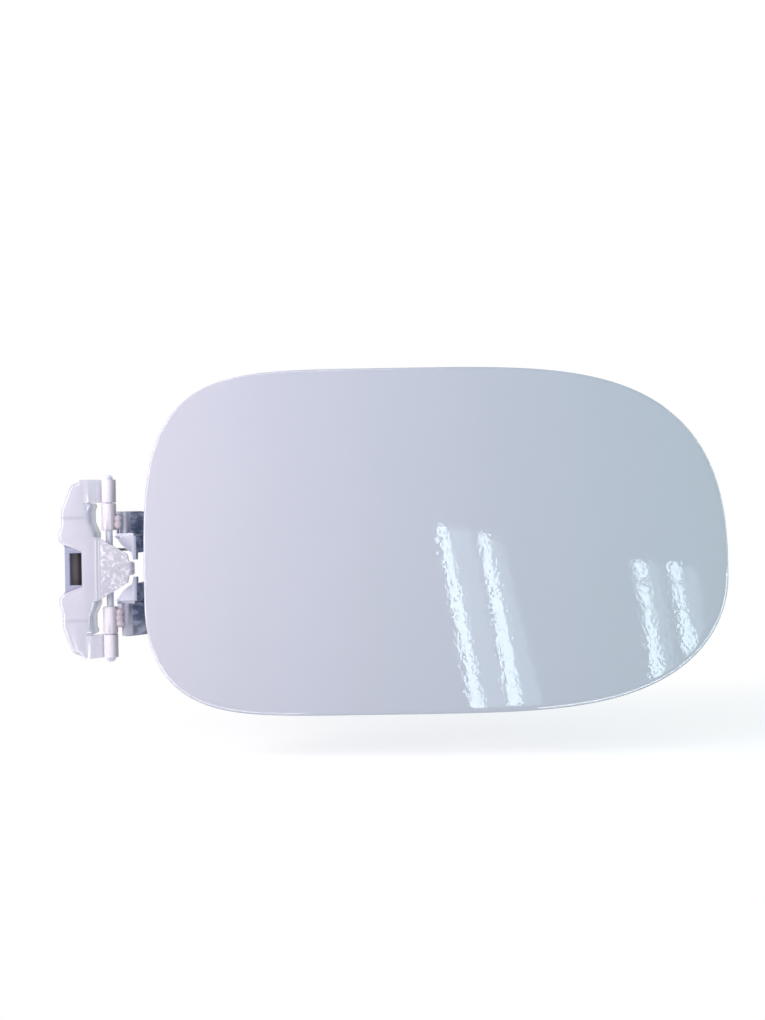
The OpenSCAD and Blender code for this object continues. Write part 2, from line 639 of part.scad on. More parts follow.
// Latch striker: a foot on the inner panel and an upright with the window for the lock pin
module latch_striker() {
    mid = striker_t / 2;
    path = soft_path([[striker_x - striker_foot, floor_y + mid], [striker_x - mid, floor_y + mid],
                      [striker_x - mid, floor_y + striker_h]], [3], 6);
    color(raw_steel) at_pin() difference() {
        translate([0, 0, flap_rise]) intersection() {
            along_pin(-striker_w / 2, striker_w / 2) polygon(sheet(path, striker_t));
            translate([striker_x - striker_foot, 0, 0]) striker_blank();
        }
        translate([striker_x - 5, floor_y + striker_h - catch_h - 3.5, flap_rise - catch_w / 2])
            cube([10, catch_h, catch_w]);
        for (x = rivet_xs) translate([x, 0, flap_rise]) through_floor(rivet_d / 2 + touch);
    }
}
module striker_blank() {
    // Round corners on the foot and on the top of the upright
    h = striker_w / 2;
    intersection() {
        into_car(floor_y - 1, floor_y + striker_h + 1) polygon(soft_loop([[0, -h], [striker_foot + 1, -h],
            [striker_foot + 1, h], [0, h]], [4, 0.1, 0.1, 4], 6));
        rotate([0, 90, 0]) linear_extrude(striker_foot + 1) polygon(soft_loop([[-h, floor_y - 1],
            [h, floor_y - 1], [h, floor_y + striker_h], [-h, floor_y + striker_h]], [0.1, 0.1, 4, 4], 6));
    }
}

module rivet(x) {
    top = floor_y + striker_t;
    bottom = floor_y - inner_t;
    color(raw_steel) at_pin() translate([x, 0, flap_rise]) rotate([-90, 0, 0])
        rotate_extrude() polygon([[0, bottom - 1], [rivet_d * 0.75, bottom - 1],
            [rivet_d * 0.85, bottom - touch], [rivet_d / 2, bottom - touch], [rivet_d / 2, top + touch],
            [rivet_d * 0.9, top + touch], [rivet_d * 0.8, top + 0.8], [rivet_d * 0.4, top + 1.3],
            [0, top + 1.4]]);
}
module rivet_near() { rivet(rivet_xs[0]); }
module rivet_far() { rivet(rivet_xs[1]); }

// Rubber buffer: a domed foot, a neck in the inner panel and a lip that is pushed through
module buffer(z) {
    r = buffer_d / 2;
    neck = buffer_neck / 2;
    bottom = floor_y - inner_t;
    color(rubber) at_pin() translate([buffer_x, 0, z]) rotate([-90, 0, 0]) rotate_extrude()
        polygon([[0, bottom - 2], [neck, bottom - 2], [neck + 1.2, bottom - 0.6],
                 [neck + 1.2, bottom - touch], [neck, bottom - touch], [neck, floor_y + touch],
                 [r, floor_y + touch], [r, floor_y + 1.6], [r * 0.86, floor_y + buffer_h * 0.8],
                 [r * 0.7, floor_y + buffer_h], [0, floor_y + buffer_h]]);
}
module buffer_upper() { buffer(buffer_zs[0]); }
module buffer_lower() { buffer(buffer_zs[1]); }

// Cap hook: a clip on the inner panel that holds the filler cap while the tank is filled
module cap_hook() {
    mid = hook_t / 2;
    path = soft_path([[hook_x + hook_l, floor_y + touch + mid], [hook_x + mid, floor_y + touch + mid],
                      [hook_x + mid, floor_y + hook_h - mid],
                      [hook_x + hook_l * 0.55, floor_y + hook_h - mid],
                      [hook_x + hook_l * 0.72, floor_y + hook_h + 1]], [2.5, 3, 4], 6);
    stud = stud_d / 2;
    bottom = floor_y - inner_t;
    color(plastic) at_pin() union() {
        translate([0, 0, flap_rise]) along_pin(-hook_w / 2, hook_w / 2) polygon(sheet(path, hook_t));
        translate([stud_x, 0, flap_rise]) rotate([-90, 0, 0]) rotate_extrude() polygon([[0, bottom - 2.2],
            [stud * 0.6, bottom - 2.2], [stud + 0.7, bottom - 0.5], [stud + 0.7, bottom - touch],
            [stud, bottom - touch], [stud, floor_y + hook_t], [0, floor_y + hook_t]]);
    }
}

outer_panel();
inner_panel();
hem_sealer();
mastic_upper();
mastic_lower();
hinge_arm();
weld_upper();
weld_lower();
sleeve_upper();
sleeve_lower();
base_bracket();
hinge_pin();
torsion_spring();
latch_striker();
rivet_near();
rivet_far();
buffer_upper();
buffer_lower();
cap_hook();
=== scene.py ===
import json
import math
import random

import bmesh
import bpy
from mathutils import Matrix, Vector


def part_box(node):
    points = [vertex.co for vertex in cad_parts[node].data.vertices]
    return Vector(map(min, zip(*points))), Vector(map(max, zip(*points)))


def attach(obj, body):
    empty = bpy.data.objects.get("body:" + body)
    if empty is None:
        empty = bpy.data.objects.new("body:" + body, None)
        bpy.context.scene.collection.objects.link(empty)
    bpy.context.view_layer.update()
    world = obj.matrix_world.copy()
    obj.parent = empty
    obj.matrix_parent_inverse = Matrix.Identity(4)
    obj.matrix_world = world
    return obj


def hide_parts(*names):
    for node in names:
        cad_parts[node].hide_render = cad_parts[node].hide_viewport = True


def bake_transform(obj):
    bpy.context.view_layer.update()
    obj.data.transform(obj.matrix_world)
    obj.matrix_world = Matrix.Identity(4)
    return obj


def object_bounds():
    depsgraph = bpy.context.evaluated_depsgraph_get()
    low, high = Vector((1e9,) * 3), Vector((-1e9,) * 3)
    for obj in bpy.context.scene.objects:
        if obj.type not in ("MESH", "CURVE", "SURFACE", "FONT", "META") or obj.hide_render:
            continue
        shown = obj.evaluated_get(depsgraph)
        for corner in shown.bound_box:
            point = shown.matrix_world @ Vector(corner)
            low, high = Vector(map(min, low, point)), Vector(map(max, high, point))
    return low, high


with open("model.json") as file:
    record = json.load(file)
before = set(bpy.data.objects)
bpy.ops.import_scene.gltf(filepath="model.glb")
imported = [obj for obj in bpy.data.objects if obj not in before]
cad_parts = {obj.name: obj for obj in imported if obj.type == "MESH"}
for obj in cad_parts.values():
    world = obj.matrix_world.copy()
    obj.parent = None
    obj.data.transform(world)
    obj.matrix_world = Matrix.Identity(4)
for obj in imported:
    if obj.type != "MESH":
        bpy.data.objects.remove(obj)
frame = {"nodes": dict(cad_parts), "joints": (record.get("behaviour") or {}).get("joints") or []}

bl_info = {
    "name": "Car Fuel Door",
    "version": (1, 0, 0),
    "blender": (4, 5, 0),
    "location": "3D View > Sidebar > Fuel Door",
    "description": "Skins, hinge sheets, welds, spring and fittings of a car fuel door",
    "category": "Object",
}

MM = 0.001
BRACKET = "bracket"
FLAP = "flap"
CAD_BOX = [list(corner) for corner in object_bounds()]
SKIN_LOW, SKIN_HIGH = [Vector(corner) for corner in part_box("outer_panel")]
# Middle of the hinge pin, in metres
PIN = Vector(frame["joints"][0]["pos_m"])
# Thickness that the bead's section is drawn for
SEALER = 1.1 * MM
WHITE = (1.0, 1.0, 1.0)
BLACK = (0.0, 0.0, 0.0)


class FuelDoorSizes(bpy.types.PropertyGroup):
    long_crown: bpy.props.FloatProperty(
        name="Long crown", description="Radius of the face's crown along the flap", default=2.6,
        unit="LENGTH")
    high_crown: bpy.props.FloatProperty(
        name="High crown", description="Radius of the face's crown up the flap", default=0.9, unit="LENGTH")
    skin: bpy.props.FloatProperty(
        name="Skin", description="Thickness of the outer skin", default=0.75 * MM, unit="LENGTH")
    inner_sheet: bpy.props.FloatProperty(
        name="Inner sheet", description="Thickness of the inner panel", default=0.7 * MM, unit="LENGTH")
    hem_gap: bpy.props.FloatProperty(
        name="Hem gap", description="Clearance on each side of the inner panel in the hem", default=0.1 * MM,
        unit="LENGTH")
    hem_width: bpy.props.FloatProperty(
        name="Hem width", description="Width of the folded hem", default=8 * MM, unit="LENGTH")
    sealer: bpy.props.FloatProperty(
        name="Sealer", description="Thickness of the bead of sealer", default=SEALER, unit="LENGTH")
    edge_round: bpy.props.FloatProperty(
        name="Edge round", description="Rounding of the pressed sheets' edges", default=0.32 * MM,
        unit="LENGTH")
    wire: bpy.props.FloatProperty(
        name="Wire", description="Diameter of the spring wire", default=1.2 * MM, unit="LENGTH")
    wire_turns: bpy.props.IntProperty(
        name="Turns", description="Number of turns of the spring's coil", default=12)
    drop: bpy.props.FloatProperty(
        name="Weld drop", description="Radius of one weld drop", default=1.9 * MM, unit="LENGTH")


class FuelDoorColours(bpy.types.PropertyGroup):
    paint: bpy.props.FloatVectorProperty(
        name="Paint", description="Body paint", default=(0.60, 0.60, 0.70), size=3, subtype="COLOR")
    paint_dry: bpy.props.FloatVectorProperty(
        name="Dry paint", description="Thin overspray on hidden sheets, welds and sealer",
        default=(0.55, 0.56, 0.66), size=3, subtype="COLOR")
    # Near-black painted shade inside the bracket's pocket, over its dark primer
    primer_and_shade: bpy.props.FloatVectorProperty(
        name="Primer", description="Dark primer inside the bracket", default=(0.02, 0.017, 0.015), size=3,
        subtype="COLOR")
    # Pale overspray colour of the pin, lightened further as painted light where it lies between sleeve and
    # bracket
    bare: bpy.props.FloatVectorProperty(
        name="Bare steel", description="Steel of the hinge pin", default=(0.74, 0.76, 0.86), size=3,
        subtype="COLOR")
    wire: bpy.props.FloatVectorProperty(
        name="Spring wire", description="Oiled spring steel", default=(0.26, 0.26, 0.29), size=3,
        subtype="COLOR")
    plated: bpy.props.FloatVectorProperty(
        name="Plating", description="Zinc plating of striker and rivets", default=(0.50, 0.50, 0.47), size=3,
        subtype="COLOR")
    weld: bpy.props.FloatVectorProperty(
        name="Weld", description="Painted weld drops", default=(0.62, 0.53, 0.58), size=3, subtype="COLOR")
    # Painted shade: blue-grey for the shade deep inside the arm, also used for the bracket's dark lines
    shade: bpy.props.FloatVectorProperty(
        name="Shade", description="Blue-grey primer deep inside the arm", default=(0.11, 0.13, 0.21), size=3,
        subtype="COLOR")
    # Painted shade, less dark: the paler streaks within the arm's shade
    shade_light: bpy.props.FloatVectorProperty(
        name="Light shade", description="Paint that reached into the arm", default=(0.3, 0.34, 0.48), size=3,
        subtype="COLOR")
    # Painted light: pale colour of the lit side of sleeves and eyes, over their thick paint
    sleeve: bpy.props.FloatVectorProperty(
        name="Sleeve", description="Thick paint on sleeves and eyes", default=(0.86, 0.83, 0.92), size=3,
        subtype="COLOR")
    # Painted light: the wings are paler to make up for the shade that falls on them
    lit_wing: bpy.props.FloatVectorProperty(
        name="Wing", description="Paint on the arm's wings", default=(0.7, 0.72, 0.85), size=3,
        subtype="COLOR")
    # Weld spatter: its bumps are real, its pale blotches are painted highlights
    spatter_and_highlights: bpy.props.FloatVectorProperty(
        name="Spatter", description="Painted weld spatter on the tongue", default=(0.93, 0.93, 0.98), size=3,
        subtype="COLOR")
    # Painted shade: bluish grey that stands for the shade in the pressed recess round the window
    recess_shade: bpy.props.FloatVectorProperty(
        name="Recess", description="Paint in the pressed recess round the window",
        default=(0.36, 0.384, 0.546), size=3, subtype="COLOR")
    # Painted highlights: thin pale lines at the bends at the root of the tongue
    bend: bpy.props.FloatVectorProperty(
        name="Bend", description="Thin light lines at the root of the tongue", default=(0.88, 0.88, 0.95),
        size=3, subtype="COLOR")
    # Painted light: paler near the pocket's left edge, where its wall catches light
    pocket_edge_light: bpy.props.FloatVectorProperty(
        name="Primer's edge", description="Overspray at the edge of the primer", default=(0.3, 0.26, 0.27),
        size=3, subtype="COLOR")
    rubber: bpy.props.FloatVectorProperty(
        name="Rubber", description="Rubber of the buffers", default=(0.02, 0.02, 0.022), size=3,
        subtype="COLOR")
    plastic: bpy.props.FloatVectorProperty(
        name="Plastic", description="Plastic of the cap clip", default=(0.03, 0.03, 0.033), size=3,
        subtype="COLOR")
    floor: bpy.props.FloatVectorProperty(
        name="Floor", description="Pale studio floor", default=(0.93, 0.93, 0.93), size=3, subtype="COLOR")


# Shader expressions

AXES = "XYZ"
# The Mix node's sockets of other kinds that stand before its two colours, and its colour output
MIX_OTHER_SOCKETS = 5
MIX_COLOUR_OUTPUT = 2


class Socket:
    """An output socket that can stand in a Python expression, with others and with numbers."""

    def __init__(self, nodes, value):
        self.nodes = nodes
        self.value = value

    def _math(self, operation, *others):
        return self.nodes.add("ShaderNodeMath", {"operation": operation}, self, *others)

    def __add__(self, other):
        return self._math("ADD", other)

    def __sub__(self, other):
        return self._math("SUBTRACT", other)

    def __mul__(self, other):
        return self._math("MULTIPLY", other)

    def __truediv__(self, other):
        return self._math("DIVIDE", other)

    def __radd__(self, other):
        return self + other

    def __rmul__(self, other):
        return self * other

    def __rsub__(self, other):
        return self.nodes.add("ShaderNodeMath", {"operation": "SUBTRACT"}, other, self)

    def absolute(self):
        return self._math("ABSOLUTE")

    def greater(self, other):
        """The greater of this value and another."""
        return self._math("MAXIMUM", other)

    def step(self, start, end):
        """Rises smoothly from 0 at start to 1 at end."""
        settings = {"interpolation_type": "SMOOTHSTEP"}
        return self.nodes.add("ShaderNodeMapRange", settings, self, start, end, 0.0, 1.0)

    def above(self, edge, soft):
        """1 above the edge and 0 below it, with a soft border."""
        return self.step(edge - soft, edge + soft)

    def below(self, edge, soft):
        return 1 - self.above(edge, soft)

    def between(self, low, high, soft):
        return self.above(low, soft) * self.below(high, soft)


class Nodes:
    """The nodes of one material or of the surroundings."""

    def __init__(self, tree):
        self.tree = tree

    def link(self, value, socket):
        """Links or sets a socket. None leaves it as it is."""
        if isinstance(value, Socket):
            value = value.value
        if isinstance(value, bpy.types.NodeSocket):
            self.tree.links.new(value, socket)
        elif value is not None:
            socket.default_value = value

    def add(self, kind, settings, *values, output=0, **named):
        """Adds a node. Its sockets take values or links, in order or by name."""
        node = self.tree.nodes.new(kind)
        for key, value in settings.items():
            setattr(node, key, value)
        for socket, value in zip(node.inputs, values):
            self.link(value, socket)
        for key, value in named.items():
            self.link(value, node.inputs[key.replace("_", " ")])
        return Socket(self, node.outputs[output]) if node.outputs else None

    def colour(self, value):
        return value if isinstance(value, Socket) else (*value, 1.0)

    def mix(self, share, first, second):
        """Colour that goes from first to second as share goes from 0 to 1."""
        other_kinds = [None] * MIX_OTHER_SOCKETS
        return self.add("ShaderNodeMix", {"data_type": "RGBA"}, share, *other_kinds, self.colour(first),
                        self.colour(second), output=MIX_COLOUR_OUTPUT)


class Sheet(Nodes):
    """The node sheet of a material with the usual shader, which reads its place on the piece."""

    def __init__(self, name):
        self.material = bpy.data.materials.new(name)
        self.material.use_nodes = True
        super().__init__(self.material.node_tree)
        self.shader = self.tree.nodes["Principled BSDF"]
        self.place = self.add("ShaderNodeTexCoord", {}, output="Object")

    def axis(self, letter):
        return self.add("ShaderNodeSeparateXYZ", {}, self.place, output=AXES.index(letter))

    def from_pin(self, letter):
        """Distance from the middle of the pin along one axis, in millimetres."""
        return (self.axis(letter) - PIN[AXES.index(letter)]) / MM

    def noise(self, scale, detail=2.0, roughness=0.5):
        return self.add("ShaderNodeTexNoise", {}, Vector=self.place, Scale=scale, Detail=detail,
                        Roughness=roughness)

    def stretched_noise(self, scale, stretch):
        stretched = self.add("ShaderNodeMapping", {}, Vector=self.place, Scale=stretch)
        return self.add("ShaderNodeTexNoise", {}, Vector=stretched, Scale=scale, Detail=2.0)

    def bump(self, height, strength, distance):
        return self.add("ShaderNodeBump", {}, Strength=strength, Distance=distance, Height=height)

    def set(self, **values):
        for key, value in values.items():
            self.link(value, self.shader.inputs[key.replace("_", " ")])


def colours():
    return bpy.context.scene.fuel_door_colours


def sizes():
    return bpy.context.scene.fuel_door_sizes


# Finishes

# Scale and share of each ripple in the clear coat
RIPPLES = ((760.0, 0.28), (480.0, 0.25), (170.0, 0.5))

# Places of the hinge's paint, in millimetres from the middle of the pin. UP is above or below it, DEPTH is
# along Y and the rest is along X.
FRONT_DEPTH = 1.0
DRY_START = -4.5
TONGUE_START = -2.6
TONGUE_UP = 12.0
BENDS = ((-4.8, -4.4), (-3.5, -3.1))
BENDS_UP = 12.4
POCKET_DEPTH = -1.2
POCKET_END = -8.0
POCKET_UP = 11.0
# Where the pocket's painted light fades into its painted shade, in millimetres along X
POCKET_EDGE_LIGHT = (-15.8, -13.6)
RECESS_START = -20.6
RECESS_START_UP = 10.7
RECESS_SLOPE = 0.365
RECESS_END = -11.2
RECESS_LINE_END = -11.0
LOBE_END = -8.6
LOBE_STEP_UP = 22.0
EAR_UP = 28.0
# Where sleeves and eyes turn from painted light to painted shade, in millimetres along X
SHADED_SIDE = (0.6, 3.3)
WING_END = 8.9
WING_FLAT_UP = 13.2
WING_RADIUS = 3.0
WING_UP = 16.4
WING_DEPTH = 1.4
ARM_INSIDE = 9.5
ARM_INSIDE_DEPTH = 1.3
DIMPLE = 5.0
DIMPLE_UP = 13.5

# How much lighter dust makes rubber and plastic
DUST = 0.05


def darker(colour, share):
    return [channel * share for channel in colour]


def face_paint():
    """Sprayed body paint under a clear coat, with the soft ripple that spraying leaves."""
    s = Sheet("flap paint")
    fine, middling, broad = [s.noise(scale, 1.0) * share for scale, share in RIPPLES]
    tint = s.mix(s.noise(9.0).step(0.35, 0.65), colours().paint, darker(colours().paint, 0.985))
    s.set(Base_Color=tint, Roughness=0.025, Normal=s.bump(fine + middling + broad, 0.2, 0.12 * MM))
    return s.material


def hinge_coat(s, cloud):
    """Paint of the hinge's pressings, a little darker in its clouds."""
    return s.mix(cloud.step(0.3, 0.7), darker(colours().paint, 0.97), colours().paint)


def tube_light_and_shade(s, x):
    """Thick paint on sleeves and eyes, with painted light on the lit side and a browner painted shade on the
    side away from it.
    """
    return s.mix(x.step(*SHADED_SIDE), colours().sleeve, darker(colours().weld, 0.78))


def bracket_paint():
    """Paint on the bracket: pressed steps, weld spatter on the tongue, bare primer behind, painted light and
    shade.
    """
    s = Sheet("bracket paint")
    x, y, up = s.from_pin("X"), s.from_pin("Y"), s.from_pin("Z").absolute()
    grain = s.noise(900.0, 3.0, 0.7)
    spots = s.noise(2600.0, 2.0, 0.6)
    cloud = s.noise(120.0, 3.0)
    spatter_and_highlights = s.noise(620.0, 4.0, 0.65)

    front = y.below(FRONT_DEPTH, 1)
    tongue = x.above(TONGUE_START, 0.6) * front * up.below(TONGUE_UP, 2)
    dry = x.above(DRY_START, 0.8) * front
    behind = y.above(POCKET_DEPTH, 0.3) * x.below(POCKET_END, 0.6) * up.below(POCKET_UP, 1)
    over_recess = up - (RECESS_START_UP - (x - RECESS_START) * RECESS_SLOPE)
    recess_shade = over_recess.below(0, 0.25) * x.below(RECESS_END, 0.4)
    recess_shade_line = over_recess.between(-0.25, 0.25, 0.2) * x.below(RECESS_LINE_END, 0.6)
    first_bend, second_bend = [x.between(*bend, 0.12) for bend in BENDS]
    bend_highlights = (first_bend + second_bend) * up.below(BENDS_UP, 0.5) * front
    lobe = x.below(LOBE_END, 1.2)
    lobe_shade_line = up.between(LOBE_STEP_UP - 0.7, LOBE_STEP_UP + 0.7, 0.5) * lobe
    lobe_step = up.step(LOBE_STEP_UP - 1.4, LOBE_STEP_UP + 1.4) * lobe
    ear_light_and_shade = x.above(LOBE_END, 1.4) * up.above(EAR_UP, 0.5)

    # Painted shade: bluish grey in the recess, and a dark line along its edge
    coat = s.mix(recess_shade, hinge_coat(s, cloud), colours().recess_shade)
    coat = s.mix(recess_shade_line * 0.6, coat, colours().shade)
    # Painted shade: a soft dark line along the step of each lobe
    coat = s.mix(lobe_shade_line * 0.16, coat, colours().shade)
    coat = s.mix((grain + spots * 0.5).step(0.55, 0.95) * dry, coat, darker(colours().paint, 0.95))
    # Weld spatter on the tongue: real bumps, with pale blotches that are painted highlights
    coat = s.mix(spatter_and_highlights.step(0.47, 0.66) * tongue, coat, colours().spatter_and_highlights)
    # Painted highlights along the tongue's two bends
    coat = s.mix(bend_highlights, coat, colours().bend)
    # Painted light and shade on the eyes, the same as on the sleeves
    coat = s.mix(ear_light_and_shade, coat, tube_light_and_shade(s, x))
    # Painted shade in the pocket behind the window over dark primer, with painted light at its left edge
    coat = s.mix(behind, coat, s.mix(x.step(*POCKET_EDGE_LIGHT), colours().pocket_edge_light, colours().primer_and_shade))
    height = grain * dry * 0.25 + spots * dry * 0.1 + cloud * 0.08
    height += spatter_and_highlights * tongue * 1.8 + bend_highlights * 0.5 + lobe_step * 1.4
    s.set(Base_Color=coat, Roughness=0.16 + dry * 0.25 + behind * 0.4, Normal=s.bump(height, 0.9, 0.2 * MM))
    return s.material


def arm_paint():
    """Paint on the arm: painted light on the rounded wings, blue-grey painted shade where the arm lies deep.
    """
    s = Sheet("arm paint")
    x, y, up = s.from_pin("X"), s.from_pin("Y"), s.from_pin("Z").absolute()
    cloud = s.noise(120.0, 3.0)
    facing = s.add("ShaderNodeTexCoord", {}, output="Normal")
    facing_y = s.add("ShaderNodeSeparateXYZ", {}, facing, output=AXES.index("Y"))

    past_x, past_up = (x - WING_END).greater(0.0), (up - WING_FLAT_UP).greater(0.0)
    past_round = (past_x * past_x + past_up * past_up).above(WING_RADIUS ** 2, 1.2)
    inside = y.above(ARM_INSIDE_DEPTH, 1.2) * x.above(ARM_INSIDE, 1.2)
    # Painted shade where the arm lies deep, on surfaces that face the front
    deep = inside.greater(past_round * x.above(WING_END, 0.3)) * facing_y.below(-0.1, 0.15)
    shade_streaks = deep * s.stretched_noise(180.0, (1.0, 1.0, 2.6)).step(0.4, 0.62)
    lit_wing = y.below(WING_DEPTH, 0.6) * up.below(WING_UP, 0.2)
    from_dimple, up_dimple = x - DIMPLE, up - DIMPLE_UP
    dimple = (from_dimple * from_dimple + up_dimple * up_dimple).step(0.0, 0.7) * y.below(FRONT_DEPTH, 1)

    # Painted light on the rounded wings
    coat = s.mix(lit_wing, hinge_coat(s, cloud), colours().lit_wing)
    # Painted shade deep in the arm, broken by paler streaks
    coat = s.mix(deep, coat, s.mix(shade_streaks, colours().shade, colours().shade_light))
    s.set(Base_Color=coat, Roughness=0.2, Normal=s.bump(cloud * 0.1 + dimple * 1.5, 0.9, 0.2 * MM))
    return s.material


def sleeve_paint():
    """Thick paint on the two sleeves, with painted light and shade across them."""
    s = Sheet("sleeve paint")
    grain = s.noise(1100.0, 3.0)
    s.set(Base_Color=tube_light_and_shade(s, s.from_pin("X")), Roughness=0.22 + grain * 0.12,
          Normal=s.bump(grain, 0.2, 0.1 * MM))
    return s.material


def inner_paint():
    """Thin paint on the flap's hidden side."""
    s = Sheet("inner paint")
    cloud = s.noise(30.0, 3.0)
    grain = s.noise(1400.0, 2.0)
    tint = s.mix(cloud.step(0.3, 0.7), colours().paint, colours().paint_dry)
    s.set(Base_Color=tint, Roughness=0.2 + cloud * 0.12, Normal=s.bump(grain, 0.12, 0.1 * MM))
    return s.material


def steel(name, colour, roughness, metallic=1.0, brushing=(1.0, 1.0, 12.0)):
    """Drawn or plated steel, with fine brush marks and faint stains."""
    s = Sheet(name)
    streak = s.stretched_noise(500.0, brushing)
    stain = s.noise(150.0, 3.0)
    tint = s.mix(stain.step(0.35, 0.75), colour, darker(colour, 0.72))
    s.set(Base_Color=tint, Metallic=metallic, Roughness=roughness + streak * 0.15,
          Normal=s.bump(streak, 0.08, 0.05 * MM))
    return s.material


def moulded(name, colour, roughness, grain_scale):
    """Moulded rubber or plastic with a fine grain and a little dust."""
    s = Sheet(name)
    grain = s.noise(grain_scale, 3.0, 0.6)
    dust = s.noise(80.0, 3.0)
    tint = s.mix(dust.step(0.5, 0.85) * 0.25, colour, [channel + DUST for channel in colour])
    s.set(Base_Color=tint, Roughness=roughness + dust * 0.1, Normal=s.bump(grain, 0.2, 0.1 * MM))
    return s.material


def weld_paint():
    """Thin paint on the weld drops."""
    s = Sheet("weld paint")
    grain = s.noise(800.0, 2.0)
    tint = s.mix(grain.step(0.4, 0.7), colours().weld, colours().paint_dry)
    s.set(Base_Color=tint, Roughness=0.32, Normal=s.bump(grain, 0.25, 0.2 * MM))
    return s.material


def sealer_paint():
    """Paint over the hand-laid sealer, lumpy and less glossy."""
    s = Sheet("painted sealer")
    lump = s.noise(140.0, 2.0)
    tint = s.mix(lump.step(0.35, 0.7), colours().paint, colours().paint_dry)
    s.set(Base_Color=tint, Roughness=0.42, Normal=s.bump(lump, 0.5, 0.4 * MM))
    return s.material


# Mesh helpers

MERGE_DISTANCE = 0.002 * MM
RING_MERGE_DISTANCE = 0.0001 * MM
FLAT_ANGLE = math.radians(1)
SHARP_ANGLE = math.radians(35)


def start_clean():
    if bpy.context.object and bpy.context.object.mode != "OBJECT":
        bpy.ops.object.mode_set(mode="OBJECT")
    bpy.ops.object.select_all(action="DESELECT")


def pick(obj):
    start_clean()
    obj.select_set(True)
    bpy.context.view_layer.objects.active = obj


def finish_piece(obj, name, body, material, nodes, smooth=35):
    """Puts the finished piece's place in its mesh, smooths it, gives it its material and body, and hides its
    CAD nodes.
    """
    pick(obj)
    bpy.ops.object.transform_apply(location=True, rotation=True, scale=True)
    bpy.ops.object.shade_smooth_by_angle(angle=math.radians(smooth))
    obj.name = name
    obj.data.materials.clear()
    obj.data.materials.append(material)
    # The spring is given no body here
    if body:
        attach(obj, body)
    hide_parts(*nodes)


def apply_modifiers(obj):
    pick(obj)
    for modifier in list(obj.modifiers):
        bpy.ops.object.modifier_apply(modifier=modifier.name)


def sheet_copy(node, round_edge=0):
    """A copy of a CAD node with its triangles joined into faces and its edges rounded."""
    start_clean()
    source = frame["nodes"][node]
    obj = source.copy()
    obj.data = source.data.copy()
    obj.parent = None
    obj.matrix_world = Matrix.Identity(4)
    bpy.context.scene.collection.objects.link(obj)
    pick(obj)
    bpy.ops.object.mode_set(mode="EDIT")
    bpy.ops.mesh.select_all(action="SELECT")
    bpy.ops.mesh.remove_doubles(threshold=MERGE_DISTANCE)
    bpy.ops.mesh.dissolve_limited(angle_limit=FLAT_ANGLE)
    bpy.ops.object.mode_set(mode="OBJECT")
    if round_edge:
        bevel = obj.modifiers.new("round", "BEVEL")
        bevel.width = round_edge
        bevel.segments = 2
        bevel.limit_method = "ANGLE"
        bevel.angle_limit = SHARP_ANGLE
        bevel.use_clamp_overlap = True
        apply_modifiers(obj)
    return obj


def ring_surface(rings, closed=False):
    """Extrudes a circle of edges from ring to ring. Its ends are capped, or where it is closed, joined."""
    start_clean()
    bpy.ops.mesh.primitive_circle_add(vertices=len(rings[0]), radius=1, fill_type="NOTHING")
    obj = bpy.context.object
    bpy.ops.object.mode_set(mode="EDIT")
    bm = bmesh.from_edit_mesh(obj.data)
    station = bm.verts.layers.int.new("station")
    for index, vert in enumerate(bm.verts):
        vert[station] = index
        vert.co = rings[0][index]
    bmesh.update_edit_mesh(obj.data)
    bpy.ops.mesh.select_all(action="SELECT")
    if not closed:
        bpy.ops.mesh.edge_face_add()
        bpy.ops.mesh.select_all(action="SELECT")
        bpy.ops.mesh.region_to_loop()
    for ring in rings[1:]:
        bpy.ops.mesh.extrude_edges_move()
        bm = bmesh.from_edit_mesh(obj.data)
        station = bm.verts.layers.int["station"]
        for vert in bm.verts:
            if vert.select:
                vert.co = ring[vert[station]]
        bmesh.update_edit_mesh(obj.data)
    if closed:
        bpy.ops.mesh.select_all(action="DESELECT")
        bpy.ops.mesh.select_non_manifold()
        bpy.ops.mesh.bridge_edge_loops()
    else:
        bpy.ops.mesh.edge_face_add()
    bpy.ops.mesh.select_all(action="SELECT")
    bpy.ops.mesh.remove_doubles(threshold=RING_MERGE_DISTANCE)
    bpy.ops.mesh.normals_make_consistent(inside=False)
    bpy.ops.object.mode_set(mode="OBJECT")
    return obj


# Outline of the flap: four quarter curves, each with an exponent along X and one along Z. The shares say
# where the quarters meet, along X at the top and bottom, and along Z at the hinge's end and the far end.

TOP_SHARE = 0.406
BOTTOM_SHARE = 0.436
NEAR_SHARE = 0.337
FAR_SHARE = 0.386
FAR_TOP = (4.03, 2.69)
NEAR_TOP = (4.47, 3.94)
NEAR_BOTTOM = (5.63, 2.28)
FAR_BOTTOM = (4.01, 2.0)
STEEP_STEPS = 18
FLAT_STEPS = 30

# Rings of the crowned face, as shares of the outline, and its last ring as a distance in from the outline
FACE_RINGS = 19
FACE_STEP = 0.05
FACE_SHARES = [0.015] + [FACE_STEP + FACE_STEP * k for k in range(FACE_RINGS)]
FACE_EDGE = 2.4 * MM
FOLD_STEPS = 14
INNER_FOLD_STEPS = 6


def quarter(side, up, power):
    """Points of one quarter, from the X axis to just before the Z axis."""
    middle = math.sin(math.radians(45))
    v45, u45 = middle ** (2 / power[1]), middle ** (2 / power[0])
    points = []
    for k in range(STEEP_STEPS):
        v = v45 * k / STEEP_STEPS
        points.append((side * (1 - v ** power[1]) ** (1 / power[0]), up * v))
    for k in range(FLAT_STEPS):
        u = u45 * (1 - k / FLAT_STEPS)
        points.append((side * u, up * (1 - u ** power[0]) ** (1 / power[1])))
    return points


def falling(side, up, power):
    """Points of one quarter, from the Z axis to just before the X axis."""
    return [(0.0, up)] + quarter(side, up, power)[:0:-1]


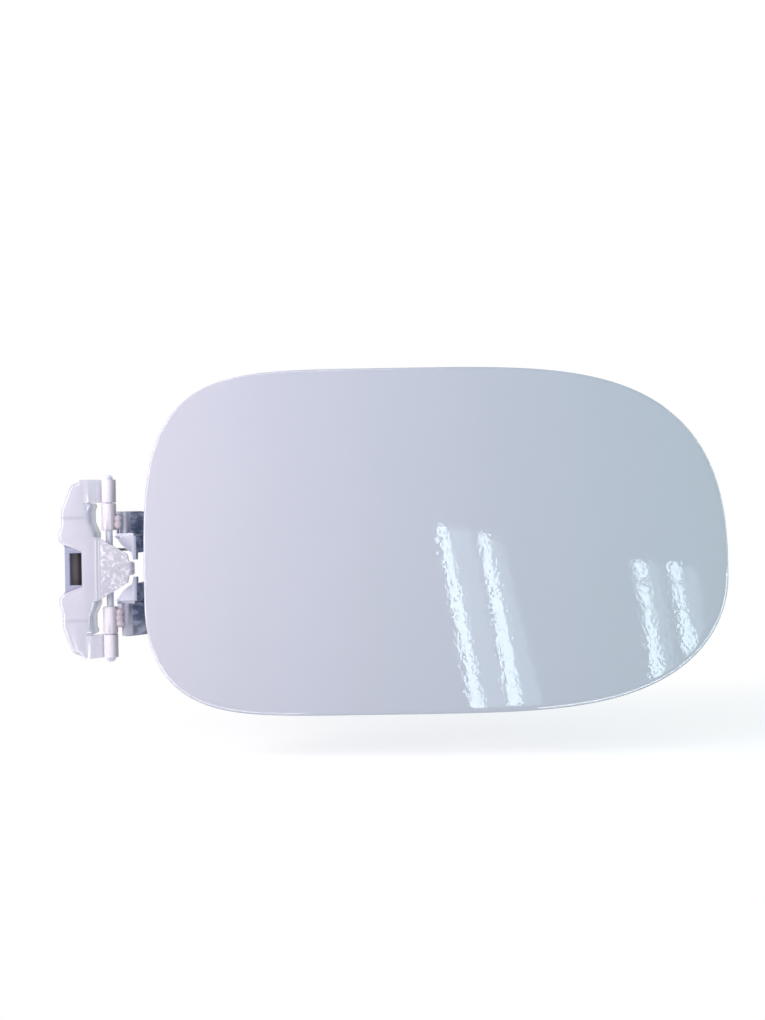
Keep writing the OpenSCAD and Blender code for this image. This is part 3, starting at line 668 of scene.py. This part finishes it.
def flap_outline():
    """The flap's outline in X and Z, counter-clockwise from its far point."""
    x0, x1, z0, z1 = SKIN_LOW.x, SKIN_HIGH.x, SKIN_LOW.z, SKIN_HIGH.z
    top_x = x0 + TOP_SHARE * (x1 - x0)
    bottom_x = x0 + BOTTOM_SHARE * (x1 - x0)
    near_z = z0 + NEAR_SHARE * (z1 - z0)
    far_z = z0 + FAR_SHARE * (z1 - z0)
    parts = [
        (top_x, far_z, quarter(x1 - top_x, z1 - far_z, FAR_TOP)),
        (top_x, near_z, falling(x0 - top_x, z1 - near_z, NEAR_TOP)),
        (bottom_x, near_z, quarter(x0 - bottom_x, z0 - near_z, NEAR_BOTTOM)),
        (bottom_x, far_z, falling(x1 - bottom_x, z0 - far_z, FAR_BOTTOM)),
    ]
    return [Vector((cx + x, cz + z)) for cx, cz, points in parts for x, z in points]


OUTLINE = flap_outline()
MIDDLE = Vector(((SKIN_LOW.x + SKIN_HIGH.x) / 2, (SKIN_LOW.z + SKIN_HIGH.z) / 2))
FACE_MIDDLE = Vector((MIDDLE.x, SKIN_LOW.y, MIDDLE.y))


def inset(points, distance):
    """The outline set in by a distance, square to its edges."""
    moved = []
    for index, point in enumerate(points):
        before = (point - points[index - 1]).normalized()
        after = (points[(index + 1) % len(points)] - point).normalized()
        left_before, left_after = Vector((-before.y, before.x)), Vector((-after.y, after.x))
        moved.append(point + (left_before + left_after) * distance / (1 + left_before.dot(left_after)))
    return moved


def on_crown(points, depth):
    """Points in X and Z, laid on the crowned face or behind it by depth."""
    crown_x, crown_z = sizes().long_crown, sizes().high_crown
    laid = []
    for point in points:
        dx, dz = point.x - MIDDLE.x, point.y - MIDDLE.y
        y = SKIN_LOW.y + dx * dx / (2 * crown_x) + dz * dz / (2 * crown_z) + depth
        laid.append(Vector((point.x, y, point.y)))
    return laid


def shrunk(share):
    """The outline drawn in to its middle, by a share of its size."""
    return [MIDDLE + (point - MIDDLE) * share for point in OUTLINE]


def hem_thickness():
    return 2 * sizes().skin + sizes().inner_sheet + 2 * sizes().hem_gap


def fold(radius, start, end, steps):
    """Inset and depth of the points of a bend round the hem's middle line, angles from the face."""
    centre = hem_thickness() / 2
    turned = [math.radians(start + (end - start) * k / steps) for k in range(steps + 1)]
    return [(centre - radius * math.sin(a), centre - radius * math.cos(a)) for a in turned]


class FUELDOOR_OT_flap_skin(bpy.types.Operator):
    """Crowned outer skin with its edge rolled round the rim of the inner panel"""
    bl_idname = "fueldoor.flap_skin"
    bl_label = "Flap skin"

    def execute(self, context):
        s = sizes()
        thick = hem_thickness()
        front = [on_crown(shrunk(share), 0) for share in FACE_SHARES]
        back = [on_crown(shrunk(share), s.skin) for share in reversed(FACE_SHARES)]
        profile = [(FACE_EDGE, 0)] + fold(thick / 2, 0, 180, FOLD_STEPS)
        profile += [(s.hem_width, thick), (s.hem_width, thick - s.skin)]
        profile += fold(thick / 2 - s.skin, 180, 0, INNER_FOLD_STEPS)
        rolled = [on_crown(inset(OUTLINE, away), depth) for away, depth in profile]
        obj = ring_surface(front + rolled + back)
        finish_piece(obj, "flap_skin", FLAP, face_paint(), ["outer_panel"], smooth=50)
        return {"FINISHED"}


# Section of the bead: millimetres in from the edge of the hem, and over the inner panel or over the hem
BEAD_SEAM = 0.02
BEAD_ON_PANEL = ((2.4, 0.02), (2.1, 0.5), (1.5, 0.95))
BEAD_ON_HEM = ((0.6, 0.55), (-0.3, 0.58), (-1.0, 0.35), (-1.3, 0.02))
BEAD_CORE = 0.5 * MM
BEAD_SEED = 4
# The bead swells and thins by this share, in waves with these counts round the flap. Only points of its
# section that are this far in, or this far over the hem, move.
SWELL = 0.12
SWELL_WAVES = (19, 33, 51)
SWELL_IN = 1
SWELL_OVER = 0.1 * MM


class FUELDOOR_OT_hem_bead(bpy.types.Operator):
    """Hand-laid bead of sealer over the edge of the hem"""
    bl_idname = "fueldoor.hem_bead"
    bl_label = "Hem bead"

    def execute(self, context):
        s = sizes()
        thick = hem_thickness()
        rim = s.skin + s.hem_gap + s.inner_sheet
        spread = MM * s.sealer / SEALER
        wander = random.Random(BEAD_SEED)
        phases = [wander.uniform(0, math.tau) for _ in SWELL_WAVES]
        profile = [(BEAD_SEAM, thick - s.skin / 2), (BEAD_SEAM, rim + BEAD_SEAM * MM)]
        profile += [(away, rim + height * MM) for away, height in BEAD_ON_PANEL]
        profile += [(away, thick + height * MM) for away, height in BEAD_ON_HEM]
        profile += [(BEAD_SEAM, thick + BEAD_SEAM * MM)]
        core = on_crown(inset(OUTLINE, s.hem_width + BEAD_CORE), thick)
        rings = []
        for away, depth in profile:
            base = on_crown(inset(OUTLINE, s.hem_width + away * spread), depth)
            swells = depth > thick + SWELL_OVER or away > SWELL_IN
            ring = []
            for index, (point, middle) in enumerate(zip(base, core)):
                turn = math.tau * index / len(OUTLINE)
                waves = [math.sin(turn * count + phase) for count, phase in zip(SWELL_WAVES, phases)]
                swell = SWELL * (sum(waves) / len(waves) - 0.5) if swells else 0
                ring.append(point + (point - middle) * swell)
            rings.append(ring)
        obj = ring_surface(rings, closed=True)
        finish_piece(obj, "hem_bead", FLAP, sealer_paint(), ["hem_sealer"], smooth=70)
        return {"FINISHED"}


# The inner panel is thinner, so its edges are less round
INNER_EDGE_SHARE = 0.6


class FUELDOOR_OT_pressed_sheets(bpy.types.Operator):
    """Bracket, arm and inner panel, with the soft edges of painted pressings"""
    bl_idname = "fueldoor.pressed_sheets"
    bl_label = "Pressed sheets"

    def execute(self, context):
        edge = sizes().edge_round
        pieces = (
            ("base_bracket", "bracket_pressing", BRACKET, bracket_paint(), edge),
            ("hinge_arm", "arm_pressing", FLAP, arm_paint(), edge),
            ("inner_panel", "inner_pressing", FLAP, inner_paint(), edge * INNER_EDGE_SHARE),
        )
        for node, name, body, paint, round_edge in pieces:
            finish_piece(sheet_copy(node, round_edge), name, body, paint, [node])
        return {"FINISHED"}


PIN_EDGE = 0.15 * MM


class FUELDOOR_OT_pin_and_sleeves(bpy.types.Operator):
    """Headed pin and the two painted sleeves that turn on it"""
    bl_idname = "fueldoor.pin_and_sleeves"
    bl_label = "Pin and sleeves"

    def execute(self, context):
        paint = sleeve_paint()
        bare = steel("pin steel", colours().bare, roughness=0.24, metallic=0.12)
        for node in ("sleeve_upper", "sleeve_lower"):
            finish_piece(sheet_copy(node), node + "_tube", FLAP, paint, [node])
        finish_piece(sheet_copy("hinge_pin", PIN_EDGE), "pin", BRACKET, bare, ["hinge_pin"])
        return {"FINISHED"}


# In drop radii: how far a drop's middle lies from the seam's two sides and, at least, from its end, the
# spacing of the drops, and their length, width and depth. They stray from the row by millimetres.
DROP_SEAT = 1.05
DROP_END = 0.7
DROP_SPACING = (1.3, 1.5)
DROP_LENGTH = (0.78, 1.04)
DROP_WIDTH = (0.85, 1.04)
DROP_DEPTH = 0.95
DROP_STRAY = (-0.3, 0.1)
DROP_SEED = 11
FUSE_SIZE = 0.16 * MM


class FUELDOOR_OT_weld_drops(bpy.types.Operator):
    """Overlapping weld drops that join each sleeve to its strap"""
    bl_idname = "fueldoor.weld_drops"
    bl_label = "Weld drops"

    def execute(self, context):
        low, high = [Vector(corner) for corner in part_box("weld_upper")]
        drop = sizes().drop
        start = low.z - PIN.z + drop
        end = high.z - PIN.z - drop * DROP_END
        shake = random.Random(DROP_SEED)
        start_clean()
        drops = []
        for side in (1, -1):
            z = start
            while z < end:
                place = (high.x - drop * DROP_SEAT + shake.uniform(*DROP_STRAY) * MM,
                         low.y + drop * DROP_SEAT, PIN.z + side * z)
                bpy.ops.mesh.primitive_uv_sphere_add(segments=24, ring_count=14, radius=1, location=place)
                ball = bpy.context.object
                ball.scale = (drop * shake.uniform(*DROP_WIDTH), drop * DROP_DEPTH,
                              drop * shake.uniform(*DROP_LENGTH))
                drops.append(ball)
                z += drop * shake.uniform(*DROP_SPACING)
        start_clean()
        for ball in drops:
            ball.select_set(True)
        bpy.context.view_layer.objects.active = drops[0]
        bpy.ops.object.join()
        obj = bpy.context.object
        bpy.ops.object.transform_apply(location=True, rotation=True, scale=True)
        fuse = obj.modifiers.new("fuse", "REMESH")
        fuse.mode = "VOXEL"
        fuse.voxel_size = FUSE_SIZE
        soften = obj.modifiers.new("soften", "SMOOTH")
        soften.iterations = 4
        apply_modifiers(obj)
        finish_piece(obj, "weld_drops", FLAP, weld_paint(), ["weld_upper", "weld_lower"],
                     smooth=80)
        return {"FINISHED"}


TURN_STEPS = 24
# How far each leg ends short of the solid spring's reach, and where the arm's leg ends along Y from the pin
LEG_END = 0.2 * MM
ARM_LEG_DEPTH = -0.38 * MM


class FUELDOOR_OT_spring(bpy.types.Operator):
    """Torsion spring on the bare middle of the pin, with its two legs"""
    bl_idname = "fueldoor.spring"
    bl_label = "Torsion spring"

    def execute(self, context):
        s = sizes()
        low, high = [Vector(corner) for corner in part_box("torsion_spring")]
        half = (high.z - low.z) / 2 - s.wire / 2
        centre_z = (high.z + low.z) / 2
        radius = high.y - PIN.y - s.wire / 2
        base_end = Vector((low.x - PIN.x + LEG_END, low.y - PIN.y + s.wire / 2))
        arm_end = Vector((high.x - PIN.x - LEG_END, ARM_LEG_DEPTH))
        base_angle = math.tau + math.atan2(base_end.y, base_end.x) - math.acos(radius / base_end.length)
        arm_angle = math.atan2(arm_end.y, arm_end.x) + math.acos(radius / arm_end.length)
        arm_angle -= math.tau * s.wire_turns
        steps = s.wire_turns * TURN_STEPS
        route = [Vector((base_end.x, base_end.y, -half))]
        for k in range(steps + 1):
            a = base_angle + (arm_angle - base_angle) * k / steps
            route.append(Vector((radius * math.cos(a), radius * math.sin(a), half * (2 * k / steps - 1))))
        route.append(Vector((arm_end.x, arm_end.y, half)))
        curve = bpy.data.curves.new("spring", "CURVE")
        curve.dimensions = "3D"
        curve.bevel_depth = s.wire / 2
        curve.bevel_resolution = 4
        curve.use_fill_caps = True
        line = curve.splines.new("POLY")
        line.points.add(len(route) - 1)
        for point, place in zip(line.points, route):
            point.co = (PIN.x + place.x, PIN.y + place.y, centre_z + place.z, 1)
        obj = bpy.data.objects.new("spring", curve)
        bpy.context.scene.collection.objects.link(obj)
        pick(obj)
        bpy.ops.object.convert(target="MESH")
        obj = bpy.context.object
        finish_piece(obj, "spring_wire", None, steel("spring steel", colours().wire, roughness=0.3),
                     ["torsion_spring"], smooth=50)
        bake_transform(obj)
        return {"FINISHED"}


MASTIC_EDGE = 0.3 * MM


class FUELDOOR_OT_fittings(bpy.types.Operator):
    """Striker with its rivets, rubber buffers, cap clip and mastic on the inner panel"""
    bl_idname = "fueldoor.fittings"
    bl_label = "Fittings"

    def execute(self, context):
        plated = steel("zinc plate", colours().plated, roughness=0.34, brushing=(6.0, 1.0, 1.0))
        rubber = moulded("black rubber", colours().rubber, roughness=0.62, grain_scale=900.0)
        plastic = moulded("black plastic", colours().plastic, roughness=0.4, grain_scale=1600.0)
        # Node, name, finish, slot and rounding of its edges in millimetres
        pieces = (
            ("latch_striker", "striker", plated, "plated_steel", 0.25),
            ("rivet_near", "rivet_head_near", plated, "plated_steel", 0.12),
            ("rivet_far", "rivet_head_far", plated, "plated_steel", 0.12),
            ("buffer_upper", "buffer_high", rubber, "black_rubber", 0.35),
            ("buffer_lower", "buffer_low", rubber, "black_rubber", 0.35),
            ("cap_hook", "cap_clip", plastic, "black_plastic", 0.4),
        )
        for node, name, material, slot, edge in pieces:
            finish_piece(sheet_copy(node, edge * MM), name, FLAP, material, [node])
        sealer = bpy.data.materials["painted sealer"]
        for node in ("mastic_upper", "mastic_lower"):
            finish_piece(sheet_copy(node, MASTIC_EDGE), node + "_drops", FLAP, sealer,
                         [node], smooth=40)
        return {"FINISHED"}


# Camera and studio

VIEW_CENTRE = Vector((118.3 * MM, -27 * MM, 23.15 * MM))
VIEW_DISTANCE = 450 * MM
VIEW_WIDTH = 312.0 * MM
VIEW_ROLL = math.radians(-1.0)
PHOTO_SIZE = (765, 1020)
CROWN_TRIES = 4

# The far windows hang this far in front of the place that mirrors them, in metres
GLINT_DISTANCE = 1.6
GLINT_COLOUR = (0.8, 0.96, 1.0)
# Each reflection in the photograph, in its pixels: top left, top right, bottom right, bottom left, and last
# its brightness
GLINTS = (
    ((437, 525), (446, 525), (484, 709), (471, 709), 12.0),
    ((478, 533), (487, 533), (523, 706), (509, 707), 12.0),
    ((446, 527), (470, 530), (507, 708), (484, 709), 3.0),
    ((487, 535), (500, 541), (543, 704), (523, 706), 3.0),
    ((633, 561), (644, 561), (648, 580), (637, 580), 12.0),
    ((637, 583), (648, 583), (654, 607), (643, 607), 12.0),
    ((643, 609), (654, 609), (663, 678), (652, 679), 12.0),
    ((644, 562), (658, 564), (675, 668), (663, 678), 3.0),
    ((669, 562), (679, 562), (683, 582), (672, 582), 12.0),
    ((672, 585), (683, 585), (688, 607), (677, 607), 12.0),
    ((677, 609), (688, 609), (695, 648), (686, 656), 12.0),
    ((679, 564), (696, 568), (705, 630), (695, 648), 3.0),
)

# Far panes that light the rim: name, place from the middle of the face, half width and half height in metres,
# brightness
RIM_PANES = (
    ("rim_window_left", (-1.2, -0.25, 0.0), 0.14, 1.0, 14.0),
    ("rim_window_right", (1.2, -0.2, 0.2), 0.14, 0.8, 9.0),
    ("rim_window_high", (-0.3, -0.25, 1.2), 0.5, 0.12, 8.0),
)

# Lines of light along the fold of the rim: first and last point of the outline, brightness. The tilts are
# degrees from the face.
RIM_LINES = (
    (108, 128, 12.0),
    (160, 191, 20.0),
)
RIM_TILTS = (8, 17)

# Lamps: name, place and lit point from the middle of the face, width and height in metres, watts, colour
LAMPS = (
    ("left key", (-0.3, -0.2, 0.1), (-0.1, 0.0, 0.0), (0.24, 0.3), 0.72, (1.0, 0.8, 0.79)),
    ("blue top", (-0.06, -0.22, 0.22), (0.0, 0.0, 0.0), (0.3, 0.3), 0.11, (0.6, 0.68, 1.0)),
    ("right fill", (0.35, -0.3, 0.0), (0.1, 0.0, 0.0), (0.3, 0.4), 0.25, (0.1, 1.0, 0.6)),
)
# Colour of the light that comes from all round
AMBIENT = (0.51, 0.59, 0.61)

# The floor lies this far below the piece. To the camera it glows in its near tone along a line under the
# flap, which has this half length, and fades to white at this distance from the line, in metres.
FLOOR_SIZE = 6
FLOOR_DROP = 20 * MM
FLOOR_NEAR = (0.42, 0.37, 0.37)
FLOOR_HALF = 0.12
FLOOR_FADE = 0.2


def camera_place():
    return PIN + VIEW_CENTRE - Vector((0, VIEW_DISTANCE, 0))


def face_point(pixel):
    """Where the ray through a pixel of the photograph meets the face, and the face's normal there."""
    scale = VIEW_WIDTH / PHOTO_SIZE[0]
    dx, dz = (pixel[0] - PHOTO_SIZE[0] / 2) * scale, (PHOTO_SIZE[1] / 2 - pixel[1]) * scale
    level, lean = math.cos(VIEW_ROLL), math.sin(VIEW_ROLL)
    ray = Vector((level * dx - lean * dz, VIEW_DISTANCE, lean * dx + level * dz))
    place = camera_place() + ray
    for _ in range(CROWN_TRIES):
        depth = on_crown([Vector((place.x, place.z))], 0)[0].y - camera_place().y
        place = camera_place() + ray * (depth / VIEW_DISTANCE)
    slope_x = (place.x - MIDDLE.x) / sizes().long_crown
    slope_z = (place.z - MIDDLE.y) / sizes().high_crown
    return place, Vector((slope_x, -1, slope_z)).normalized()


def mirrored(place, normal):
    """Where a far window lies, so that its reflection shows at that place of the flap."""
    ray = (place - camera_place()).normalized()
    back = ray - 2 * ray.dot(normal) * normal
    return place + back * (GLINT_DISTANCE / -back.y)


def rim_corner(index, tilt):
    """Where a far strip lies, so that it shows in the fold at that point of the outline and that tilt."""
    point = OUTLINE[index]
    along = (OUTLINE[(index + 1) % len(OUTLINE)] - OUTLINE[index - 1]).normalized()
    outward = Vector((along.y, 0, -along.x))
    normal = outward * math.sin(math.radians(tilt)) - Vector((0, math.cos(math.radians(tilt)), 0))
    return mirrored(on_crown([point], 0)[0], normal)


def glow_material(name, colour, strength):
    material = bpy.data.materials.new(name)
    material.use_nodes = True
    nodes = Nodes(material.node_tree)
    nodes.tree.nodes.clear()
    glow = nodes.add("ShaderNodeEmission", {}, Color=(*colour, 1.0), Strength=strength)
    nodes.add("ShaderNodeOutputMaterial", {}, glow)
    return material


def add_lamp(name, place, target, size, power, colour):
    """A soft lamp that lights the piece and shows in nothing. Place and target are from the face's middle."""
    light = bpy.data.lights.new(name, "AREA")
    light.shape = "RECTANGLE"
    light.size, light.size_y = size
    light.energy = power
    light.color = colour
    lamp = bpy.data.objects.new(name, light)
    lamp.location = FACE_MIDDLE + Vector(place)
    lamp.rotation_euler = (Vector(target) - Vector(place)).to_track_quat("-Z", "Y").to_euler()
    lamp.visible_camera = False
    lamp.visible_glossy = False
    bpy.context.scene.collection.objects.link(lamp)


class FUELDOOR_OT_stage(bpy.types.Operator):
    """Camera at the photograph's angle, pale floor, white surroundings and soft tinted light"""
    bl_idname = "fueldoor.stage"
    bl_label = "Stage"

    def execute(self, context):
        scene = context.scene
        camera = bpy.data.cameras.new("photo camera")
        camera.sensor_fit = "HORIZONTAL"
        camera.angle = 2 * math.atan(VIEW_WIDTH / 2 / VIEW_DISTANCE)
        camera.clip_start = 10 * MM
        eye = bpy.data.objects.new("photo camera", camera)
        eye.matrix_world = (Matrix.Translation(camera_place()) @ Matrix.Rotation(math.radians(90), 4, "X")
                            @ Matrix.Rotation(VIEW_ROLL, 4, "Z"))
        scene.collection.objects.link(eye)
        scene.camera = eye
        scene.view_settings.view_transform = "Standard"
        self.surroundings(scene)
        self.floor()
        self.windows()
        for lamp in LAMPS:
            add_lamp(*lamp)
        return {"FINISHED"}

    def surroundings(self, scene):
        """White where it is seen, seen through or mirrored, and a soft ambient light elsewhere."""
        scene.world = bpy.data.worlds.new("studio")
        scene.world.use_nodes = True
        nodes = Nodes(scene.world.node_tree)
        nodes.tree.nodes.clear()
        seen, through, mirror = [
            nodes.add("ShaderNodeLightPath", {}, output=ray)
            for ray in ("Is Camera Ray", "Is Transmission Ray", "Is Glossy Ray")
        ]
        ambient = nodes.add("ShaderNodeBackground", {}, Color=(*AMBIENT, 1.0))
        white = nodes.add("ShaderNodeBackground", {}, Color=(*WHITE, 1.0))
        both = nodes.add("ShaderNodeMixShader", {}, seen.greater(through).greater(mirror), ambient, white)
        nodes.add("ShaderNodeOutputWorld", {}, both)

    def floor(self):
        """Pale floor that glows to the camera alone and keeps the flap's shadow."""
        start_clean()
        low, high = CAD_BOX
        bpy.ops.mesh.primitive_plane_add(
            size=FLOOR_SIZE, location=((low[0] + high[0]) / 2, 0, low[2] - FLOOR_DROP))
        plane = bpy.context.object
        plane.name = "studio_floor"
        s = Sheet("studio floor")
        away_x = ((s.axis("X") - MIDDLE.x).absolute() - FLOOR_HALF).greater(0.0)
        away_y = s.axis("Y")
        far = (away_x * away_x + away_y * away_y).step(0.0, FLOOR_FADE ** 2)
        seen = s.add("ShaderNodeLightPath", {}, output="Is Camera Ray")
        s.set(Base_Color=s.mix(far * seen, colours().floor, BLACK), Roughness=0.9, Specular_IOR_Level=0.0,
              Emission_Color=s.mix(seen, BLACK, s.mix(far, FLOOR_NEAR, WHITE)), Emission_Strength=1.0)
        plane.data.materials.append(s.material)
        plane.visible_glossy = False

    def windows(self):
        """Far bright windows that only show as reflections in the flap and on the hinge."""
        for number, (*corners, strength) in enumerate(GLINTS):
            self.pane("far_window_%d" % number, [mirrored(*face_point(corner)) for corner in corners],
                      glow_material("window glow %d" % number, GLINT_COLOUR, strength))
        for name, away, half_width, half_height, strength in RIM_PANES:
            centre = FACE_MIDDLE + Vector(away)
            across = Vector((0, 0, 1)).cross(Vector(away)).normalized()
            up = Vector(away).normalized().cross(across) * half_height
            across *= half_width
            corners = [centre - across + up, centre + across + up, centre + across - up, centre - across - up]
            self.pane(name, corners, glow_material(name + " glow", WHITE, strength))
        for number, (first, last, strength) in enumerate(RIM_LINES):
            start_clean()
            bpy.ops.mesh.primitive_grid_add(x_subdivisions=last - first, y_subdivisions=1, size=1)
            places = [rim_corner(index, tilt) for tilt in RIM_TILTS for index in range(first, last + 1)]
            glow = glow_material("rim glow %d" % number, WHITE, strength)
            self.hang("rim_line_%d" % number, places, glow)

    def pane(self, name, corners, glow):
        start_clean()
        bpy.ops.mesh.primitive_plane_add(size=1)
        self.hang(name, (corners[3], corners[2], corners[0], corners[1]), glow)

    def hang(self, name, places, glow):
        """Puts the new mesh's points at their places, out of sight of all but reflections."""
        pane = bpy.context.object
        for vert, place in zip(pane.data.vertices, places):
            vert.co = place
        pane.name = name
        pane.data.materials.append(glow)
        pane.visible_camera = False
        pane.visible_diffuse = False
        pane.visible_shadow = False


class FUELDOOR_PT_panel(bpy.types.Panel):
    """Lists the pieces of the fuel door"""
    bl_label = "Fuel Door"
    bl_space_type = "VIEW_3D"
    bl_region_type = "UI"
    bl_category = "Fuel Door"

    def draw(self, context):
        for operator in PIECES:
            self.layout.operator(operator.bl_idname)
        for group in (context.scene.fuel_door_sizes, context.scene.fuel_door_colours):
            for name in group.__annotations__:
                self.layout.prop(group, name)


PIECES = (
    FUELDOOR_OT_flap_skin,
    FUELDOOR_OT_hem_bead,
    FUELDOOR_OT_pressed_sheets,
    FUELDOOR_OT_pin_and_sleeves,
    FUELDOOR_OT_weld_drops,
    FUELDOOR_OT_spring,
    FUELDOOR_OT_fittings,
    FUELDOOR_OT_stage,
)
CLASSES = (FuelDoorSizes, FuelDoorColours) + PIECES + (FUELDOOR_PT_panel,)


def register():
    for cls in CLASSES:
        bpy.utils.register_class(cls)
    bpy.types.Scene.fuel_door_sizes = bpy.props.PointerProperty(type=FuelDoorSizes)
    bpy.types.Scene.fuel_door_colours = bpy.props.PointerProperty(type=FuelDoorColours)


def unregister():
    del bpy.types.Scene.fuel_door_sizes
    del bpy.types.Scene.fuel_door_colours
    for cls in reversed(CLASSES):
        bpy.utils.unregister_class(cls)


def main():
    register()
    bpy.ops.fueldoor.flap_skin()
    bpy.ops.fueldoor.hem_bead()
    bpy.ops.fueldoor.pressed_sheets()
    bpy.ops.fueldoor.pin_and_sleeves()
    bpy.ops.fueldoor.weld_drops()
    bpy.ops.fueldoor.spring()
    bpy.ops.fueldoor.fittings()
    bpy.ops.fueldoor.stage()
    start_clean()


if __name__ == "__main__":
    main()
